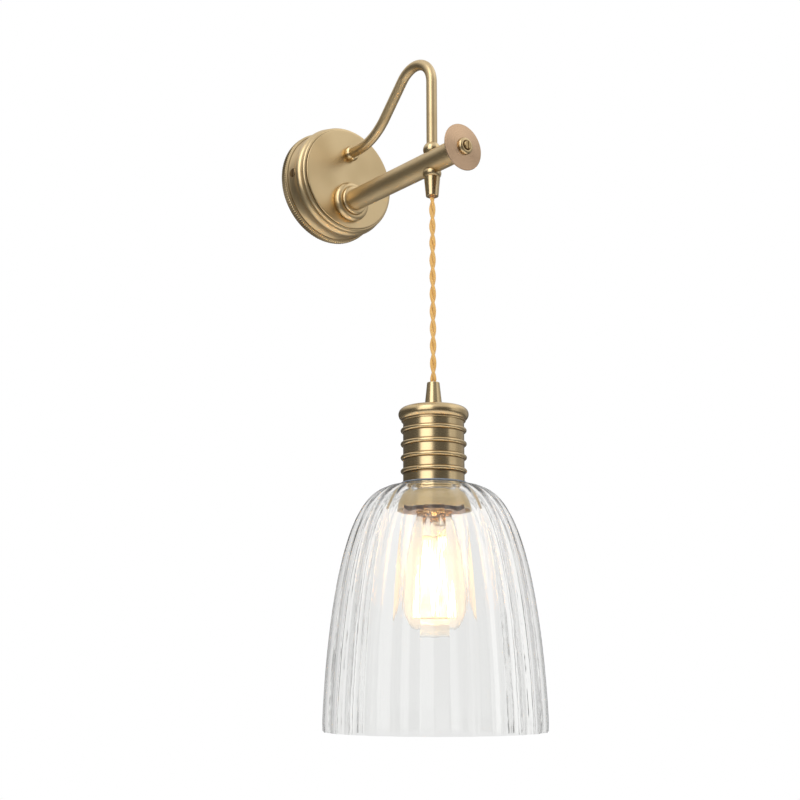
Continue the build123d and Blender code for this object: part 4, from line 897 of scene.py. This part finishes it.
def filament_grid():
    """A thin wire through its corners, even ones on the cage's top ring and odd ones at its foot.
    Each corner is eased by a parabola, and the wire is a circle carried along the line."""
    k = np.arange(WIRE_CORNERS)
    angle = np.radians(CAGE_GAP / 2 + k * (360.0 - CAGE_GAP) / (WIRE_CORNERS - 1))
    radius = np.where(k % 2, CAGE_FOOT_R, CAGE_TOP_R)
    height = np.where(k % 2, CAGE_FOOT, CAGE_TOP)
    corners = np.stack([radius * np.cos(angle), radius * np.sin(angle) - PROJECTION, height], 1)
    line = [corners[:1]]
    for before, corner, after in zip(corners, corners[1:], corners[2:]):
        into, out = corner - before, after - corner
        p = corner - into / np.linalg.norm(into) * WIRE_BEND
        q = corner + out / np.linalg.norm(out) * WIRE_BEND
        t = np.linspace(0, 1, 7)[:, None]
        line.append((1 - t) ** 2 * p + 2 * t * (1 - t) * corner + t ** 2 * q)
    line.append(corners[-1:])
    points = np.concatenate(line)
    distance = line_lengths(points)
    at = np.linspace(0, distance[-1], 900)
    points = np.stack([np.interp(at, distance, points[:, j]) for j in range(3)], 1)
    tangent = np.gradient(points, axis=0)
    tangent /= np.linalg.norm(tangent, axis=1, keepdims=True)
    spoke = points - np.array([0, -PROJECTION, 0])
    spoke[:, 2] = 0
    side = np.cross(tangent, spoke)
    side /= np.linalg.norm(side, axis=1, keepdims=True)
    other = np.cross(tangent, side)
    t = np.linspace(0, 2 * np.pi, 8, endpoint=False)
    ring = np.cos(t)[None, :, None] * side[:, None] + np.sin(t)[None, :, None] * other[:, None]
    grid = points[:, None] + WIRE_R * ring
    ends = [np.repeat(points[:1, None], 8, 1), np.repeat(points[-1:, None], 8, 1)]
    return np.concatenate([ends[0], grid, ends[1]]) * MM


# ---------------------------------------------------------------- the carried-over nodes

def finish_nodes():
    """Each CAD node takes the finish of its own name, or else its slot's."""
    slots = {part["node"]: part["material_slot"] for part in frame["record"]["subparts"]}
    for name, node in frame["nodes"].items():
        node.data.materials.clear()
        node.data.materials.append(FINISHES.get(name, FINISHES[slots[name]]))


# ---------------------------------------------------------------- light

def studio():
    """A white background, and for reflections a dim room with a wide soft box at the camera's left,
    a narrow and a broad one far to its right, light above and a pale floor. turn and raised are degrees
    from the camera's side, and aside the degrees to either side of straight behind the lamp. Rays through
    the glass see white there, a brighter streak, brighter sides, and some of the room once mirrored."""
    world = bpy.data.worlds.new("studio")
    bpy.context.scene.world = world
    world.use_nodes = True
    world.node_tree.nodes.clear()
    paint = Paint(world.node_tree)
    x, y, z = paint.apart(paint.node("TexCoord").tap("Generated"))
    sine, cosine = float(np.sin(CAMERA_AZIMUTH)), float(np.cos(CAMERA_AZIMUTH))
    toward = x * sine + y * -cosine
    right = x * cosine + y * sine
    turn = paint.node("Math", {"operation": "ARCTAN2"}, {0: right, 1: toward}) * DEGREES
    raised = paint.node("Math", {"operation": "ARCSINE"}, {0: z}) * DEGREES

    def box(left, far, low, high, soft):
        """1 inside a patch of the sky, falling off over soft degrees."""
        return (
            paint.band(turn, left - soft, left + soft, far - soft, far + soft)
            * paint.band(raised, low - soft, low + soft, high - soft, high + soft)
        )

    key = box(-52, -7, -6, 60, 4)
    strip = box(58, 71, -12, 40, 4)
    side = box(74, 150, -12, 60, 6) * (0.76 - paint.step(turn, 80, 96) * 0.44)
    above = paint.step(raised, 12, 48)
    below = 1 - paint.step(raised, -45, -8)
    room = 0.11 + key * 1.95 + strip * 0.85 + side + above * 0.80 + below * 0.16
    path = paint.node("LightPath")
    glossy, through, camera = (path.tap(f"Is {kind} Ray") for kind in ("Glossy", "Transmission", "Camera"))
    beyond = paint.node("Math", {"operation": "ARCTAN2"}, {0: right, 1: toward * -1}) * DEGREES
    aside = paint.node("Math", {"operation": "ABSOLUTE"}, {0: beyond})
    streak = paint.band(aside, 7, 13, 18, 26)
    seen_through = 0.83 + streak * 0.14 + paint.step(aside, 26, 60) * 0.20
    mirrored = paint.step(path.tap("Glossy Depth"), 0.4, 0.6)
    seen_through = seen_through * (1 - mirrored * 0.2) + mirrored * room * 0.2
    strength = camera + (1 - camera) * (
        through * seen_through + (1 - through) * (glossy * room + (1 - glossy) * 0.9))
    paint.finish("OutputWorld", paint.node("Background", None, {"Color": (1, 1, 1, 1), "Strength": strength}))
    bpy.context.scene.view_settings.view_transform = "Standard"


def area_light(name, place, target, size, watts, tint=(1, 1, 1)):
    """A soft square light that the camera doesn't see."""
    data = bpy.data.lights.new(name, "AREA")
    data.size, data.energy, data.color = size, watts, tint
    light = bpy.data.objects.new(name, data)
    light.location = place
    aim = Vector(target) - Vector(place)
    light.rotation_euler = aim.to_track_quat("-Z", "Y").to_euler()
    light.visible_camera = False
    light.visible_glossy = False
    light.visible_transmission = False
    bpy.context.collection.objects.link(light)


def put_lights():
    """Two soft lights, from the upper left and from the right, and the bulb's own warm light."""
    area_light("soft_key", (-1.3, -0.9, 0.9), (0, -0.1, -0.15), 1.2, 14.0)
    area_light("soft_fill", (0.9, -1.2, 0.2), (0, -0.1, -0.2), 1.2, 5.0)
    data = bpy.data.lights.new("lamp_glow", "POINT")
    data.energy, data.color, data.shadow_soft_size = 0.9, (1.0, 0.50, 0.16), 0.012
    glow = bpy.data.objects.new("lamp_glow", data)
    glow.location = (0, -PROJECTION * MM, GLOW_HEIGHT * MM)
    bpy.context.collection.objects.link(glow)
    glow.visible_camera = False
    glow.visible_transmission = False


def put_floor():
    """A plain pale floor, a turned disc, well below the lamp."""
    t = np.linspace(0, 2 * np.pi, 96, endpoint=False)
    radius = np.array([0, 0.2, 0.4, 0.6])
    x, y = radius[:, None] * np.cos(t), radius[:, None] * np.sin(t) - 0.1
    mesh = mesh_from_grids("floor", [np.stack([x, y, np.full_like(x, FLOOR_HEIGHT)], 2)])
    mesh.materials.append(
        plain("floor_paper", colour(244, 244, 243), colour(240, 240, 239), 0.8, 3.0, bump=0.02))
    show("floor", mesh)


# ---------------------------------------------------------------- the scene

put_camera()
make_flex()
finish_nodes()
make_backplate()
make_arm()
make_gooseneck()
make_grips()
make_holder()
make_ring()
make_shade()
make_bulb()
put_floor()
put_lights()
studio()
